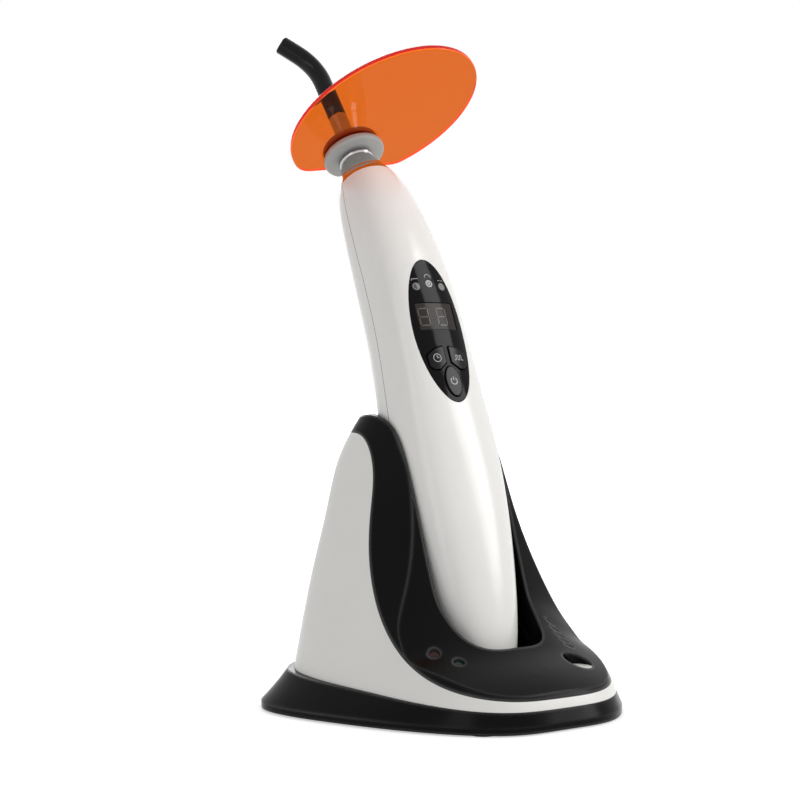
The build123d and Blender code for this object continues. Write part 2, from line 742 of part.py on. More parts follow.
for pin_name, side in (("contact_pin_left", -1), ("contact_pin_right", 1)):
    pin_plane = Plane(block_plane.location * Location((side * PIN_SPACING / 2, 0, 0)))
    with BuildPart() as pin:
        with BuildSketch(pin_plane.offset(-RUNNING)):
            Circle(PIN_RADIUS)
        extrude(amount=RUNNING + CRADLE_WALL + PIN_HEAD)
        with BuildSketch(pin_plane.offset(-RUNNING)):
            Circle(pin_bore - RUNNING)
        extrude(amount=-PIN_COLLAR_THICKNESS)
        with BuildSketch(pin_plane.offset(-RUNNING)):
            Circle(PIN_TAIL_RADIUS)
        extrude(amount=-(BLOCK_DEPTH - BLOCK_FLOOR - PIN_TRAVEL - PIN_TAIL_GAP))
        fillet(pin.faces().sort_by(Axis(pin_plane.origin, pin_plane.z_dir))[-1].edges(), PIN_ROUND)
    pin.part.label = pin_name
    export_step(pin.part, f"parts/{pin_name}.step")

# ---------------------------------------------------------------- forms of the handpiece
panel_out = Vector(0, -cos(radians(PANEL_LEAN)), sin(radians(PANEL_LEAN)))
panel_plane = Plane(
    origin=spine_point(PANEL_DISTANCE)[0] + panel_out * PANEL_CHORD, x_dir=(1, 0, 0), z_dir=panel_out
)
board_plane = panel_plane.offset(-BOARD_SINK)
hand_form = handpiece_form(0)
hand_cavity = split(
    handpiece_form(SHELL_WALL), bisect_by=nose_plane(-CAVITY_TOP), keep=Keep.BOTTOM
)
hand_cavity = split(hand_cavity, bisect_by=spine_plane(CAVITY_END), keep=Keep.TOP)

# everything in front of the surface that the spine sweeps sideways
with BuildPart() as front_half:
    with BuildSketch(Plane.YZ):
        with BuildLine():
            above = spine_point(-CAVITY_TOP)[0]
            bend_start = spine_point(upper_run)[0]
            bend_middle = spine_point((upper_run + arc_end) / 2)[0]
            bend_finish = spine_point(arc_end)[0]
            below = spine_point(HANDPIECE_LENGTH + CAVITY_TOP)[0]
            Line((above.Y, above.Z), (bend_start.Y, bend_start.Z))
            ThreePointArc(
                (bend_start.Y, bend_start.Z),
                (bend_middle.Y, bend_middle.Z),
                (bend_finish.Y, bend_finish.Z),
            )
            Polyline(
                (bend_finish.Y, bend_finish.Z),
                (below.Y, below.Z),
                (-CROWN_REACH, below.Z),
                (-CROWN_REACH, above.Z),
                (above.Y, above.Z),
            )
        make_face()
    extrude(amount=CROWN_REACH, both=True)


def sunk(depth):
    """The handpiece's form, moved in by that much behind the panel."""
    return hand_form.moved(Location(panel_out * -depth))


def key_outline(side):
    """Outline of the left or right key, on the panel's plane."""
    with BuildSketch(panel_plane) as outline:
        with BuildLine():
            FilletPolyline(*[(side * x, v) for x, v in KEY_CORNERS], radius=KEY_CORNER, close=True)
        make_face()
    return outline.sketch


def power_outline(gap=0.0):
    """Outline of the power key, or of its opening, on the panel's plane."""
    with BuildSketch(panel_plane) as outline:
        with Locations((0, POWER_V)):
            Ellipse(POWER_HALF_WIDTH + gap, POWER_HALF_LENGTH + gap)
    return outline.sketch


def panel_outline(gap=0.0):
    """Outline of the panel, or of its opening, on its plane."""
    with BuildSketch(panel_plane) as outline:
        Ellipse(PANEL_HALF_WIDTH + gap, PANEL_HALF_LENGTH + gap)
    return outline.sketch


def window_outline(gap=0.0):
    """Outline of the display, or of its opening, on the panel's plane."""
    with BuildSketch(panel_plane) as outline:
        with Locations((0, WINDOW_V)):
            Rectangle(WINDOW_WIDTH + 2 * gap, WINDOW_HEIGHT + 2 * gap)
    return outline.sketch


def indicator_outlines(gap=0.0):
    """Outlines of the three lamps, or of their openings, on the panel's plane."""
    with BuildSketch(panel_plane) as outlines:
        with Locations(*INDICATOR_SPOTS):
            Circle(INDICATOR_RADIUS + gap)
    return outlines.sketch


def through(outline, depth=BOARD_SINK):
    """Prism of an outline on the panel, from that far behind its plane to well outside."""
    behind = outline.moved(Location(panel_out * -depth))
    return extrude(behind, amount=depth + BOARD_SINK, dir=panel_out)


switch_spots = [(-KEY_SWITCH_X, KEY_SWITCH_V), (KEY_SWITCH_X, KEY_SWITCH_V), (0, POWER_V)]

panel_prism = through(panel_outline(), BOARD_SINK - 1)
panel_hole = through(panel_outline(PANEL_GAP), BOARD_SINK - 1)
window_prism = through(window_outline())
window_hole = through(window_outline(WINDOW_GAP))
indicator_prisms = through(indicator_outlines())
indicator_holes = through(indicator_outlines(WINDOW_GAP))
key_prisms = {
    "time_button": through(key_outline(-1)),
    "mode_button": through(key_outline(1)),
    "power_button": through(power_outline()),
}
key_holes = [
    through(offset(key_outline(-1), BUTTON_GAP)),
    through(offset(key_outline(1), BUTTON_GAP)),
    through(power_outline(BUTTON_GAP)),
]

# ribs and stops that hold the cell, right across the handpiece
with BuildPart() as cell_ribs:
    for distance, opening in CELL_RIBS:
        with BuildSketch(spine_plane(distance)):
            Circle(CROWN_REACH)
            Circle(opening, mode=Mode.SUBTRACT)
        extrude(amount=RIB_THICKNESS)
    add(hand_form, mode=Mode.INTERSECT)

# what both shells are bored for: the nose's spigot and the two charging pads
with BuildPart() as shell_bores:
    with BuildSketch(nose_plane(0)):
        Circle(SPIGOT_RADIUS + RUNNING)
    extrude(amount=-CAVITY_TOP)
    with BuildSketch(spine_plane(HANDPIECE_LENGTH)):
        with GridLocations(PIN_SPACING, 1, 2, 1):
            Circle(PAD_RADIUS + RUNNING)
    extrude(amount=pad_depth + PAD_THICKNESS)

# ---------------------------------------------------------------- handpiece
with BuildPart() as front_shell:
    add(hand_form)
    add(hand_cavity, mode=Mode.SUBTRACT)
    add(cell_ribs.part)
    # bosses for the main board
    with BuildSketch(board_plane):
        with GridLocations(2 * BOSS_X, 2 * BOSS_V, 2, 2):
            Circle(BOSS_RADIUS)
    bosses = extrude(amount=2 * BOARD_SINK, mode=Mode.PRIVATE)
    add(bosses & hand_form)
    add(front_half.part, mode=Mode.INTERSECT)
    add(shell_bores.part, mode=Mode.SUBTRACT)
    add(panel_hole, mode=Mode.SUBTRACT)
front_shell.part.label = "front_shell"
export_step(front_shell.part, "parts/front_shell.step")

with BuildPart() as back_shell:
    add(hand_form)
    add(hand_cavity, mode=Mode.SUBTRACT)
    add(cell_ribs.part)
    add(front_half.part, mode=Mode.SUBTRACT)
    add(shell_bores.part, mode=Mode.SUBTRACT)
back_shell.part.label = "back_shell"
export_step(back_shell.part, "parts/back_shell.step")

with BuildPart() as control_panel:
    add(panel_prism)
    add(hand_form, mode=Mode.INTERSECT)
    add(sunk(SHELL_WALL), mode=Mode.SUBTRACT)
    for hole in (window_hole, indicator_holes, *key_holes):
        add(hole, mode=Mode.SUBTRACT)
control_panel.part.label = "control_panel"
export_step(control_panel.part, "parts/control_panel.step")

with BuildPart() as display:
    add(window_prism)
    add(sunk(WINDOW_SINK), mode=Mode.INTERSECT)
display.part.label = "display"
export_step(display.part, "parts/display.step")

with BuildPart() as indicator_lamps:
    add(indicator_prisms)
    add(sunk(RUNNING), mode=Mode.INTERSECT)
indicator_lamps.part.label = "indicator_lamps"
export_step(indicator_lamps.part, "parts/indicator_lamps.step")

switch_top = SWITCH_HEIGHT - BOARD_SINK
for (key_name, prism), spot in zip(key_prisms.items(), switch_spots):
    with BuildPart() as key:
        add(prism)
        add(sunk(-BUTTON_PROUD), mode=Mode.INTERSECT)
        add(sunk(KEY_THICKNESS), mode=Mode.SUBTRACT)
        with BuildSketch(panel_plane.offset(switch_top + SWITCH_CLEARANCE)):
            with Locations(spot):
                Circle(KEY_STEM_RADIUS)
        stem = extrude(amount=BOARD_SINK, mode=Mode.PRIVATE)
        add(stem & hand_form)
    key.part.label = key_name
    export_step(key.part, f"parts/{key_name}.step")

with BuildPart() as tact_switches:
    with BuildSketch(board_plane):
        with Locations(*switch_spots):
            Rectangle(SWITCH_WIDTH, SWITCH_WIDTH)
    extrude(amount=SWITCH_HEIGHT - SWITCH_PLUNGER)
    with BuildSketch(board_plane):
        with Locations(*switch_spots):
            Circle(PLUNGER_RADIUS)
    extrude(amount=SWITCH_HEIGHT)
tact_switches.part.label = "tact_switches"
export_step(tact_switches.part, "parts/tact_switches.step")

with BuildPart() as main_board:
    with BuildSketch(board_plane):
        RectangleRounded(2 * MAIN_BOARD_HALF_WIDTH, 2 * PANEL_HALF_LENGTH, BOARD_CORNER)
    extrude(amount=-BOARD_THICKNESS)
    with BuildSketch(board_plane.offset(-BOARD_THICKNESS)):
        with GridLocations(CHIP_PITCH_X, CHIP_PITCH_V, 2, 3):
            Rectangle(CHIP_WIDTH, CHIP_WIDTH)
    extrude(amount=-CHIP_HEIGHT)
main_board.part.label = "main_board"
export_step(main_board.part, "parts/main_board.step")

with BuildPart() as battery:
    with BuildSketch(spine_plane(CELL_END)):
        Circle(CELL_RADIUS)
    extrude(amount=CELL_END - CELL_TOP)
    chamfer(battery.edges().filter_by(GeomType.CIRCLE), CELL_EDGE)
battery.part.label = "battery"
export_step(battery.part, "parts/battery.step")

with BuildPart() as charge_pads:
    with BuildSketch(spine_plane(HANDPIECE_LENGTH - pad_depth)):
        with GridLocations(PIN_SPACING, 1, 2, 1):
            Circle(PAD_RADIUS)
    extrude(amount=PAD_THICKNESS)
charge_pads.part.label = "charge_pads"
export_step(charge_pads.part, "parts/charge_pads.step")

with BuildPart() as nose_cone:
    with BuildSketch(nose_section):
        with BuildLine():
            Polyline(
                (SOCKET_RADIUS + RUNNING, -CONE_TOP),
                (SOCKET_RADIUS + RUNNING, -SOCKET_DEPTH),
                (LENS_RADIUS + RUNNING, -SOCKET_DEPTH),
                (LENS_RADIUS + RUNNING, -CAVITY_TOP),
                (SPIGOT_RADIUS, -CAVITY_TOP),
                (SPIGOT_RADIUS, -CONE_LENGTH),
                (CONE_RADIUS, -CONE_LENGTH),
            )
            Spline(
                (CONE_RADIUS, -CONE_LENGTH),
                CONE_WAIST,
                (CONE_TOP_RADIUS, -CONE_TOP),
            )
            Line((CONE_TOP_RADIUS, -CONE_TOP), (SOCKET_RADIUS + RUNNING, -CONE_TOP))
        make_face()
    revolve(axis=nose_axis)
nose_cone.part.label = "nose_cone"
export_step(nose_cone.part, "parts/nose_cone.step")

lens_ball = (LENS_RADIUS**2 + LENS_BULGE**2) / (2 * LENS_BULGE)
with BuildPart() as lens:
    with BuildSketch(nose_plane(-SOCKET_DEPTH)):
        Circle(LENS_RADIUS)
    extrude(amount=-LENS_RIM - LENS_BULGE)
    ball_centre = bead + nose_dir * (lens_ball - SOCKET_DEPTH - LENS_RIM - LENS_BULGE)
    with Locations(Plane(origin=ball_centre, x_dir=nose_dir, z_dir=(1, 0, 0))):
        Sphere(lens_ball, mode=Mode.INTERSECT)
lens.part.label = "lens"
export_step(lens.part, "parts/lens.step")

with BuildPart() as led_module:
    with BuildSketch(nose_plane(-CAVITY_TOP)):
        Circle(SPIGOT_RADIUS)
    extrude(amount=-LED_THICKNESS)
    with BuildSketch(nose_plane(-CAVITY_TOP)):
        Circle(LED_DOME_RADIUS)
    extrude(amount=LED_DOME_HEIGHT)
led_module.part.label = "led_module"
export_step(led_module.part, "parts/led_module.step")

sink_top = CAVITY_TOP + LED_THICKNESS
with BuildPart() as heat_sink:
    with BuildSketch(nose_plane(-sink_top)):
        Circle(FIN_RADIUS / 2)
    extrude(amount=-FINS * FIN_PITCH)
    for fin in range(FINS):
        with BuildSketch(nose_plane(-sink_top - fin * FIN_PITCH)):
            Circle(FIN_RADIUS)
        extrude(amount=-FIN_PITCH / 2)
heat_sink.part.label = "heat_sink"
export_step(heat_sink.part, "parts/heat_sink.step")

# ---------------------------------------------------------------- light guide and shield
root = SOCKET_DEPTH - ROOT_GAP
bead_foot = RUNNING - CONE_TOP
bead_top = bead_foot + BEAD_HEIGHT
with BuildPart() as guide_ferrule:
    with BuildSketch(nose_section):
        with BuildLine():
            Polyline(
                (GUIDE_CORE + RUNNING, -root),
                (SOCKET_RADIUS, -root),
                (SOCKET_RADIUS, bead_foot),
                (BEAD_RADIUS - BEAD_ROUND, bead_foot),
            )
            ThreePointArc(
                (BEAD_RADIUS - BEAD_ROUND, bead_foot),
                (BEAD_RADIUS, bead_foot + BEAD_HEIGHT / 2),
                (BEAD_RADIUS - BEAD_ROUND, bead_top),
            )
            Polyline(
                (BEAD_RADIUS - BEAD_ROUND, bead_top),
                (GUIDE_RADIUS, bead_top),
                (GUIDE_RADIUS, FERRULE_REACH),
                (GUIDE_CORE + RUNNING, FERRULE_REACH),
                (GUIDE_CORE + RUNNING, -root),
            )
        make_face()
        # groove of the O-ring
        with Locations((SOCKET_RADIUS - ring_groove / 2, -ORING_DEPTH)):
            Rectangle(ring_groove, 2 * (ORING_WIRE + RUNNING), mode=Mode.SUBTRACT)
    revolve(axis=nose_axis)
guide_ferrule.part.label = "guide_ferrule"
export_step(guide_ferrule.part, "parts/guide_ferrule.step")

with BuildPart() as guide_oring:
    with BuildSketch(nose_section):
        with Locations((SOCKET_RADIUS - ORING_WIRE, -ORING_DEPTH)):
            Circle(ORING_WIRE)
    revolve(axis=nose_axis)
guide_oring.part.label = "guide_oring"
export_step(guide_oring.part, "parts/guide_oring.step")

with BuildPart() as light_rod:
    with BuildSketch(nose_plane(-root)):
        Circle(GUIDE_CORE)
    extrude(amount=root + FERRULE_REACH)
    with BuildLine(nose_section) as bend:
        straight = Line((0, FERRULE_REACH), (0, GUIDE_STRAIGHT))
        turn = JernArc(straight @ 1, straight % 1, GUIDE_BEND_RADIUS, GUIDE_BEND_ANGLE)
        Line(turn @ 1, turn @ 1 + (turn % 1) * GUIDE_TIP)
    with BuildSketch(nose_plane(FERRULE_REACH)):
        Circle(GUIDE_RADIUS)
    sweep(path=bend.line)
    tip_face = light_rod.faces().filter_by(GeomType.PLANE).sort_by(Axis.X)[0]
    fillet(tip_face.edges(), GUIDE_TIP_ROUND)
light_rod.part.label = "light_rod"
export_step(light_rod.part, "parts/light_rod.step")

groove_start = GROMMET_START + GROMMET_FLANGE
groove_end = groove_start + SHIELD_THICKNESS + 2 * RUNNING
with BuildPart() as grommet:
    with BuildSketch(nose_section):
        with BuildLine():
            Polyline(
                (GUIDE_RADIUS + RUNNING, GROMMET_START),
                (GROMMET_RADIUS, GROMMET_START),
                (GROMMET_RADIUS, groove_start),
                (GROMMET_NECK, groove_start),
                (GROMMET_NECK, groove_end),
                (GROMMET_RADIUS - GROMMET_STEP, groove_end),
                (GROMMET_RADIUS - GROMMET_STEP, groove_end + GROMMET_FLANGE),
                (GUIDE_RADIUS + RUNNING, groove_end + GROMMET_FLANGE),
                close=True,
            )
        make_face()
    revolve(axis=nose_axis)
    circles = grommet.edges().filter_by(GeomType.CIRCLE)
    fillet(circles.filter_by(lambda edge: edge.radius > GROMMET_NECK + RUNNING), GROMMET_ROUND)
grommet.part.label = "grommet"
export_step(grommet.part, "parts/grommet.step")

shield_turn = radians(SHIELD_TURN)
shield_middle = (
    SHIELD_AHEAD * sin(shield_turn) - SHIELD_ASIDE * cos(shield_turn),
    -SHIELD_AHEAD * cos(shield_turn) - SHIELD_ASIDE * sin(shield_turn),
)
with BuildPart() as shield:
    with BuildSketch(nose_plane(groove_start + RUNNING)) as shield_outline:
        with Locations(shield_middle):
            Ellipse(SHIELD_LONG, SHIELD_SHORT, rotation=SHIELD_TURN - 90)
        back_edge = Location((0, 0, 0), (0, 0, SHIELD_BACK_TURN)) * Pos(0, SHIELD_BACK + SHIELD_LONG)
        with Locations(back_edge):
            Rectangle(4 * SHIELD_LONG, 2 * SHIELD_LONG, mode=Mode.SUBTRACT)
        fillet(shield_outline.vertices(), SHIELD_CORNER)
        Circle(GROMMET_NECK + RUNNING, mode=Mode.SUBTRACT)
    extrude(amount=SHIELD_THICKNESS)
    sides = shield.faces().filter_by(nose_axis).sort_by(nose_axis)
    fillet(sides[0].outer_wire().edges() + sides[-1].outer_wire().edges(), SHIELD_EDGE)
shield.part.label = "shield"
export_step(shield.part, "parts/shield.step")
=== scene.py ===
import bpy
import bmesh
from math import cos, radians, sin, tan
from mathutils import Matrix, Vector


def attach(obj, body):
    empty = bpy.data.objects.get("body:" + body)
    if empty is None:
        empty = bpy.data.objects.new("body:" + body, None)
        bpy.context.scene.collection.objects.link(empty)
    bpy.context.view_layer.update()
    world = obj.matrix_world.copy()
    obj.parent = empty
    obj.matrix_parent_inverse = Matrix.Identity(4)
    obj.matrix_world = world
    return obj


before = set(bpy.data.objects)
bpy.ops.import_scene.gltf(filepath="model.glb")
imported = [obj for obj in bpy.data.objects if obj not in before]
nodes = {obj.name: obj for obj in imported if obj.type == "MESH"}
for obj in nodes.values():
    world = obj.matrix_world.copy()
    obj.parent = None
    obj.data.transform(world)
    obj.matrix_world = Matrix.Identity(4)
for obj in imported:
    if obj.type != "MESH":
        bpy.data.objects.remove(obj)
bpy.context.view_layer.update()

# ---------------------------------------------------------------- camera
# A long lens at the height of a bench, a little to the left of the stand's front and
# just above level, so that the deck is seen at a low slant.
CAMERA_TARGET = Vector((-0.0468, -0.02205, 0.1098))
CAMERA_TURN = radians(-35.0)
CAMERA_RISE = radians(2.0)
CAMERA_DISTANCE = 0.621
LENS_MM = 85.05
SENSOR_MM = 36.0

towards_camera = Vector(
    (sin(CAMERA_TURN) * cos(CAMERA_RISE), -cos(CAMERA_TURN) * cos(CAMERA_RISE), sin(CAMERA_RISE))
)
camera_data = bpy.data.cameras.new("camera")
camera_data.lens = LENS_MM
camera_data.sensor_width = SENSOR_MM
camera = bpy.data.objects.new("camera", camera_data)
bpy.context.scene.collection.objects.link(camera)
camera.location = CAMERA_TARGET + towards_camera * CAMERA_DISTANCE
camera.rotation_euler = towards_camera.to_track_quat("Z", "Y").to_euler()
bpy.context.scene.camera = camera

# ---------------------------------------------------------------- bench and studio light
# A plain white bench top in a white room, a large soft lamp high at the front right,
# a weaker one at the left and one behind that draws the rims.
PURE_WHITE = (1.0, 1.0, 1.0, 1.0)
BENCH_SIZE = 6.0
BENCH_WHITE = (0.8, 0.8, 0.8, 1.0)
BENCH_ROUGHNESS = 0.9
BENCH_GLOW = 0.5                # near the stand, where its shadow falls
BENCH_GLOW_FAR = 1.0
GLOW_START = 0.16               # distances from the middle of the stand
GLOW_END = 0.75
ROOM_LIGHT = (0.78, 0.79, 0.80, 1.0)
ROOM_STRENGTH = 0.55
LAMPS = [
    # name, place, width, height, watts
    ("key_lamp", (0.75, -0.70, 0.70), 0.35, 0.9, 6.8),
    ("fill_lamp", (-1.05, -0.55, 0.50), 0.4, 0.9, 1.9),
    ("rim_lamp", (0.30, 0.75, 0.65), 0.3, 0.9, 4.0),
]
LAMP_AIM = Vector((0.0, 0.01, 0.11))


def add_node(tree, kind, **settings):
    """Adds a shader node and sets its properties."""
    node = tree.nodes.new(kind)
    for name, value in settings.items():
        setattr(node, name, value)
    return node


def feed(tree, term, socket):
    """Wires an output to an input socket, or sets the input to a plain value."""
    if isinstance(term, bpy.types.NodeSocket):
        tree.links.new(term, socket)
    else:
        socket.default_value = term


def calc(tree, operation, *terms):
    """Adds a Math node on sockets or plain numbers and returns its output."""
    node = add_node(tree, "ShaderNodeMath", operation=operation)
    for number, term in enumerate(terms):
        feed(tree, term, node.inputs[number])
    return node.outputs[0]


def fade(tree, value, start, end, before, after):
    """Adds a soft step from one number to another, as value goes from start to end."""
    step = add_node(tree, "ShaderNodeMapRange", interpolation_type="SMOOTHSTEP")
    step.inputs["From Min"].default_value = start
    step.inputs["From Max"].default_value = end
    step.inputs["To Min"].default_value = before
    step.inputs["To Max"].default_value = after
    feed(tree, value, step.inputs["Value"])
    return step.outputs["Result"]


def seen_directly(tree):
    """1 where a camera, mirror or glass ray arrives, else 0."""
    path = add_node(tree, "ShaderNodeLightPath")
    seen = calc(tree, "MAXIMUM", path.outputs["Is Camera Ray"], path.outputs["Is Glossy Ray"])
    return calc(tree, "MAXIMUM", seen, path.outputs["Is Transmission Ray"])


world = bpy.data.worlds.new("room")
world.use_nodes = True
room = world.node_tree
room.nodes.clear()
lit_room = add_node(room, "ShaderNodeBackground")
lit_room.inputs["Color"].default_value = ROOM_LIGHT
lit_room.inputs["Strength"].default_value = ROOM_STRENGTH
white_room = add_node(room, "ShaderNodeBackground")
white_room.inputs["Color"].default_value = PURE_WHITE
room_mix = add_node(room, "ShaderNodeMixShader")
room_out = add_node(room, "ShaderNodeOutputWorld")
feed(room, seen_directly(room), room_mix.inputs[0])
feed(room, lit_room.outputs[0], room_mix.inputs[1])
feed(room, white_room.outputs[0], room_mix.inputs[2])
feed(room, room_mix.outputs[0], room_out.inputs["Surface"])
bpy.context.scene.world = world
bpy.context.scene.view_settings.view_transform = "Standard"

for lamp_name, place, width, height, watts in LAMPS:
    lamp_data = bpy.data.lights.new(lamp_name, "AREA")
    lamp_data.shape = "RECTANGLE"
    lamp_data.size = width
    lamp_data.size_y = height
    lamp_data.energy = watts
    lamp = bpy.data.objects.new(lamp_name, lamp_data)
    bpy.context.scene.collection.objects.link(lamp)
    lamp.location = place
    lamp.rotation_euler = (Vector(place) - LAMP_AIM).to_track_quat("Z", "Y").to_euler()
    lamp.visible_camera = False
    lamp.visible_transmission = False


def new_material(name):
    """An empty node material and its Principled shader."""
    material = bpy.data.materials.new(name)
    material.use_nodes = True
    return material, material.node_tree.nodes["Principled BSDF"]


def new_piece(name, shape, material):
    """Turns a finished bmesh into an object of one material."""
    mesh = bpy.data.meshes.new(name)
    shape.to_mesh(mesh)
    shape.free()
    mesh.materials.append(material)
    piece = bpy.data.objects.new(name, mesh)
    bpy.context.scene.collection.objects.link(piece)
    return piece


bench_white, bench_shader = new_material("bench_white")
bench_tree = bench_white.node_tree
bench_shader.inputs["Base Color"].default_value = BENCH_WHITE
bench_shader.inputs["Roughness"].default_value = BENCH_ROUGHNESS
bench_shader.inputs["Specular IOR Level"].default_value = 0.0
bench_shader.inputs["Emission Color"].default_value = PURE_WHITE
bench_place = add_node(bench_tree, "ShaderNodeTexCoord")
bench_reach = add_node(bench_tree, "ShaderNodeVectorMath", operation="LENGTH")
feed(bench_tree, bench_place.outputs["Object"], bench_reach.inputs[0])
bench_glow = fade(
    bench_tree, bench_reach.outputs["Value"], GLOW_START, GLOW_END, BENCH_GLOW, BENCH_GLOW_FAR
)
bench_light = calc(bench_tree, "MULTIPLY", seen_directly(bench_tree), bench_glow)
feed(bench_tree, bench_light, bench_shader.inputs["Emission Strength"])
bench_top = bmesh.new()
bmesh.ops.create_grid(bench_top, x_segments=1, y_segments=1, size=BENCH_SIZE / 2)
bench = new_piece("bench", bench_top, bench_white)

# ---------------------------------------------------------------- housing of the base
# The white tent of the charging base, one ABS moulding with a fine spark-eroded satin
# skin, pressed down on the plinth and held by screws from below.
HOUSING_WHITE = (0.90, 0.885, 0.855, 1.0)
HOUSING_SHADE = (0.84, 0.82, 0.785, 1.0)
CLOUD_SCALE = 38.0              # clouds in the colour, 26 mm across
CLOUD_DETAIL = 3.0
SMEAR_SCALE = 210.0             # handling marks in the gloss, 5 mm across
SMEAR_DETAIL = 4.0
SMEAR_TWIST = 1.2
SMEAR_MIDDLE = 0.5
GRAIN_DETAIL = 2.0
EDGE_SAMPLES = 4


def blend(tree, kind, share, first, second):
    """Adds a Mix node of two colours ("RGBA") or two numbers ("FLOAT") and returns its output."""
    mix = add_node(tree, "ShaderNodeMix", data_type=kind)
    feed(tree, share, mix.inputs["Factor"])
    feed(tree, first, mix.inputs["A"])
    feed(tree, second, mix.inputs["B"])
    return mix.outputs["Result"]


def moulded_skin():
    """Group: the skin of a moulding, with a cloudy colour, handling marks in its gloss and a grain."""
    group = bpy.data.node_groups.new("moulded_skin", "ShaderNodeTree")
    for name, kind in (
        ("Colour", "NodeSocketColor"),
        ("Shade", "NodeSocketColor"),
        ("Roughness", "NodeSocketFloat"),
        ("Spread", "NodeSocketFloat"),
        ("Grain Size", "NodeSocketFloat"),
    ):
        group.interface.new_socket(name=name, in_out="INPUT", socket_type=kind)
    for name, kind in (
        ("Colour", "NodeSocketColor"),
        ("Roughness", "NodeSocketFloat"),
        ("Height", "NodeSocketFloat"),
    ):
        group.interface.new_socket(name=name, in_out="OUTPUT", socket_type=kind)
    start = add_node(group, "NodeGroupInput")
    end = add_node(group, "NodeGroupOutput")
    place = add_node(group, "ShaderNodeTexCoord")
    cloud = add_node(group, "ShaderNodeTexNoise")
    cloud.inputs["Scale"].default_value = CLOUD_SCALE
    cloud.inputs["Detail"].default_value = CLOUD_DETAIL
    smears = add_node(group, "ShaderNodeTexNoise")
    smears.inputs["Scale"].default_value = SMEAR_SCALE
    smears.inputs["Detail"].default_value = SMEAR_DETAIL
    smears.inputs["Distortion"].default_value = SMEAR_TWIST
    grain = add_node(group, "ShaderNodeTexNoise")
    grain.inputs["Detail"].default_value = GRAIN_DETAIL
    feed(group, calc(group, "DIVIDE", 1.0, start.outputs["Grain Size"]), grain.inputs["Scale"])
    for noise in (cloud, smears, grain):
        feed(group, place.outputs["Object"], noise.inputs["Vector"])
    colour = blend(group, "RGBA", cloud.outputs[0], start.outputs["Colour"], start.outputs["Shade"])
    feed(group, colour, end.inputs["Colour"])
    off_middle = calc(group, "SUBTRACT", smears.outputs[0], SMEAR_MIDDLE)
    swing = calc(group, "MULTIPLY", off_middle, start.outputs["Spread"])
    feed(group, calc(group, "ADD", start.outputs["Roughness"], swing), end.inputs["Roughness"])
    feed(group, grain.outputs[0], end.inputs["Height"])
    return group


skin_group = moulded_skin()


def moulded_plastic(
    name, colour, shade, roughness, spread, grain_size, grain_depth, specular=0.5, edge=0.0003
):
    """A moulded plastic on that skin, with edges that catch the light as rounded ones do."""
    material, shader = new_material(name)
    tree = material.node_tree
    skin = add_node(tree, "ShaderNodeGroup", node_tree=skin_group, name="skin")
    skin.inputs["Colour"].default_value = colour
    skin.inputs["Shade"].default_value = shade
    skin.inputs["Roughness"].default_value = roughness
    skin.inputs["Spread"].default_value = spread
    skin.inputs["Grain Size"].default_value = grain_size
    feed(tree, skin.outputs["Colour"], shader.inputs["Base Color"])
    feed(tree, skin.outputs["Roughness"], shader.inputs["Roughness"])
    rounded = add_node(tree, "ShaderNodeBevel", samples=EDGE_SAMPLES)
    rounded.inputs["Radius"].default_value = edge
    bump = add_node(tree, "ShaderNodeBump")
    bump.inputs["Distance"].default_value = grain_depth
    feed(tree, rounded.outputs["Normal"], bump.inputs["Normal"])
    feed(tree, skin.outputs["Height"], bump.inputs["Height"])
    feed(tree, bump.outputs["Normal"], shader.inputs["Normal"])
    shader.inputs["Specular IOR Level"].default_value = specular
    return material


def finish_node(name, material):
    """Gives a CAD node its material."""
    slots = nodes[name].data.materials
    slots.clear()
    slots.append(material)


housing_white = moulded_plastic(
    "housing_white", HOUSING_WHITE, HOUSING_SHADE,
    roughness=0.36, spread=0.10, grain_size=0.00035, grain_depth=0.00002,
)
finish_node("base_shell", housing_white)

# ---------------------------------------------------------------- cradle and plinth
# Two black ABS mouldings with the same satin skin: the deck with its pocket and arms,
# let into the housing, and the heavy plinth that the housing stands on.
# Their edges carry a painted sheen: a lighter grey mixed into the colour where the surface turns.
SATIN_BLACK = (0.0018, 0.0018, 0.0018, 1.0)
SATIN_BLACK_SHADE = (0.0032, 0.0032, 0.0032, 1.0)
PAINTED_EDGE_SHEEN = (0.100, 0.100, 0.100, 1.0)      # painted highlight: a lighter grey mixed in where the edges turn
EDGE_REACH = 0.0018
EDGE_FULL = 0.85                                # cosine of the turn at a full edge


def dot(tree, first, second):
    """Adds a dot product of two vectors, sockets or plain ones, and returns its output."""
    node = add_node(tree, "ShaderNodeVectorMath", operation="DOT_PRODUCT")
    feed(tree, first, node.inputs[0])
    feed(tree, second, node.inputs[1])
    return node.outputs["Value"]


satin_black = moulded_plastic(
    "satin_black", SATIN_BLACK, SATIN_BLACK_SHADE,
    roughness=0.22, spread=0.08, grain_size=0.00045, grain_depth=0.00001, specular=0.07, edge=0.0014,
)
black_tree = satin_black.node_tree
edge_feeler = add_node(black_tree, "ShaderNodeBevel", samples=EDGE_SAMPLES)
edge_feeler.inputs["Radius"].default_value = EDGE_REACH
surface = add_node(black_tree, "ShaderNodeNewGeometry")
edge_turn = dot(black_tree, edge_feeler.outputs["Normal"], surface.outputs["Normal"])
painted_sheen_share = fade(black_tree, edge_turn, EDGE_FULL, 1.0, 1.0, 0.0)
# painted highlight along the edges, put into the base colour
black_colour = blend(
    black_tree, "RGBA", painted_sheen_share, black_tree.nodes["skin"].outputs["Colour"], PAINTED_EDGE_SHEEN
)
feed(black_tree, black_colour, black_tree.nodes["Principled BSDF"].inputs["Base Color"])
for name in ("cradle", "base_plate"):
    finish_node(name, satin_black)

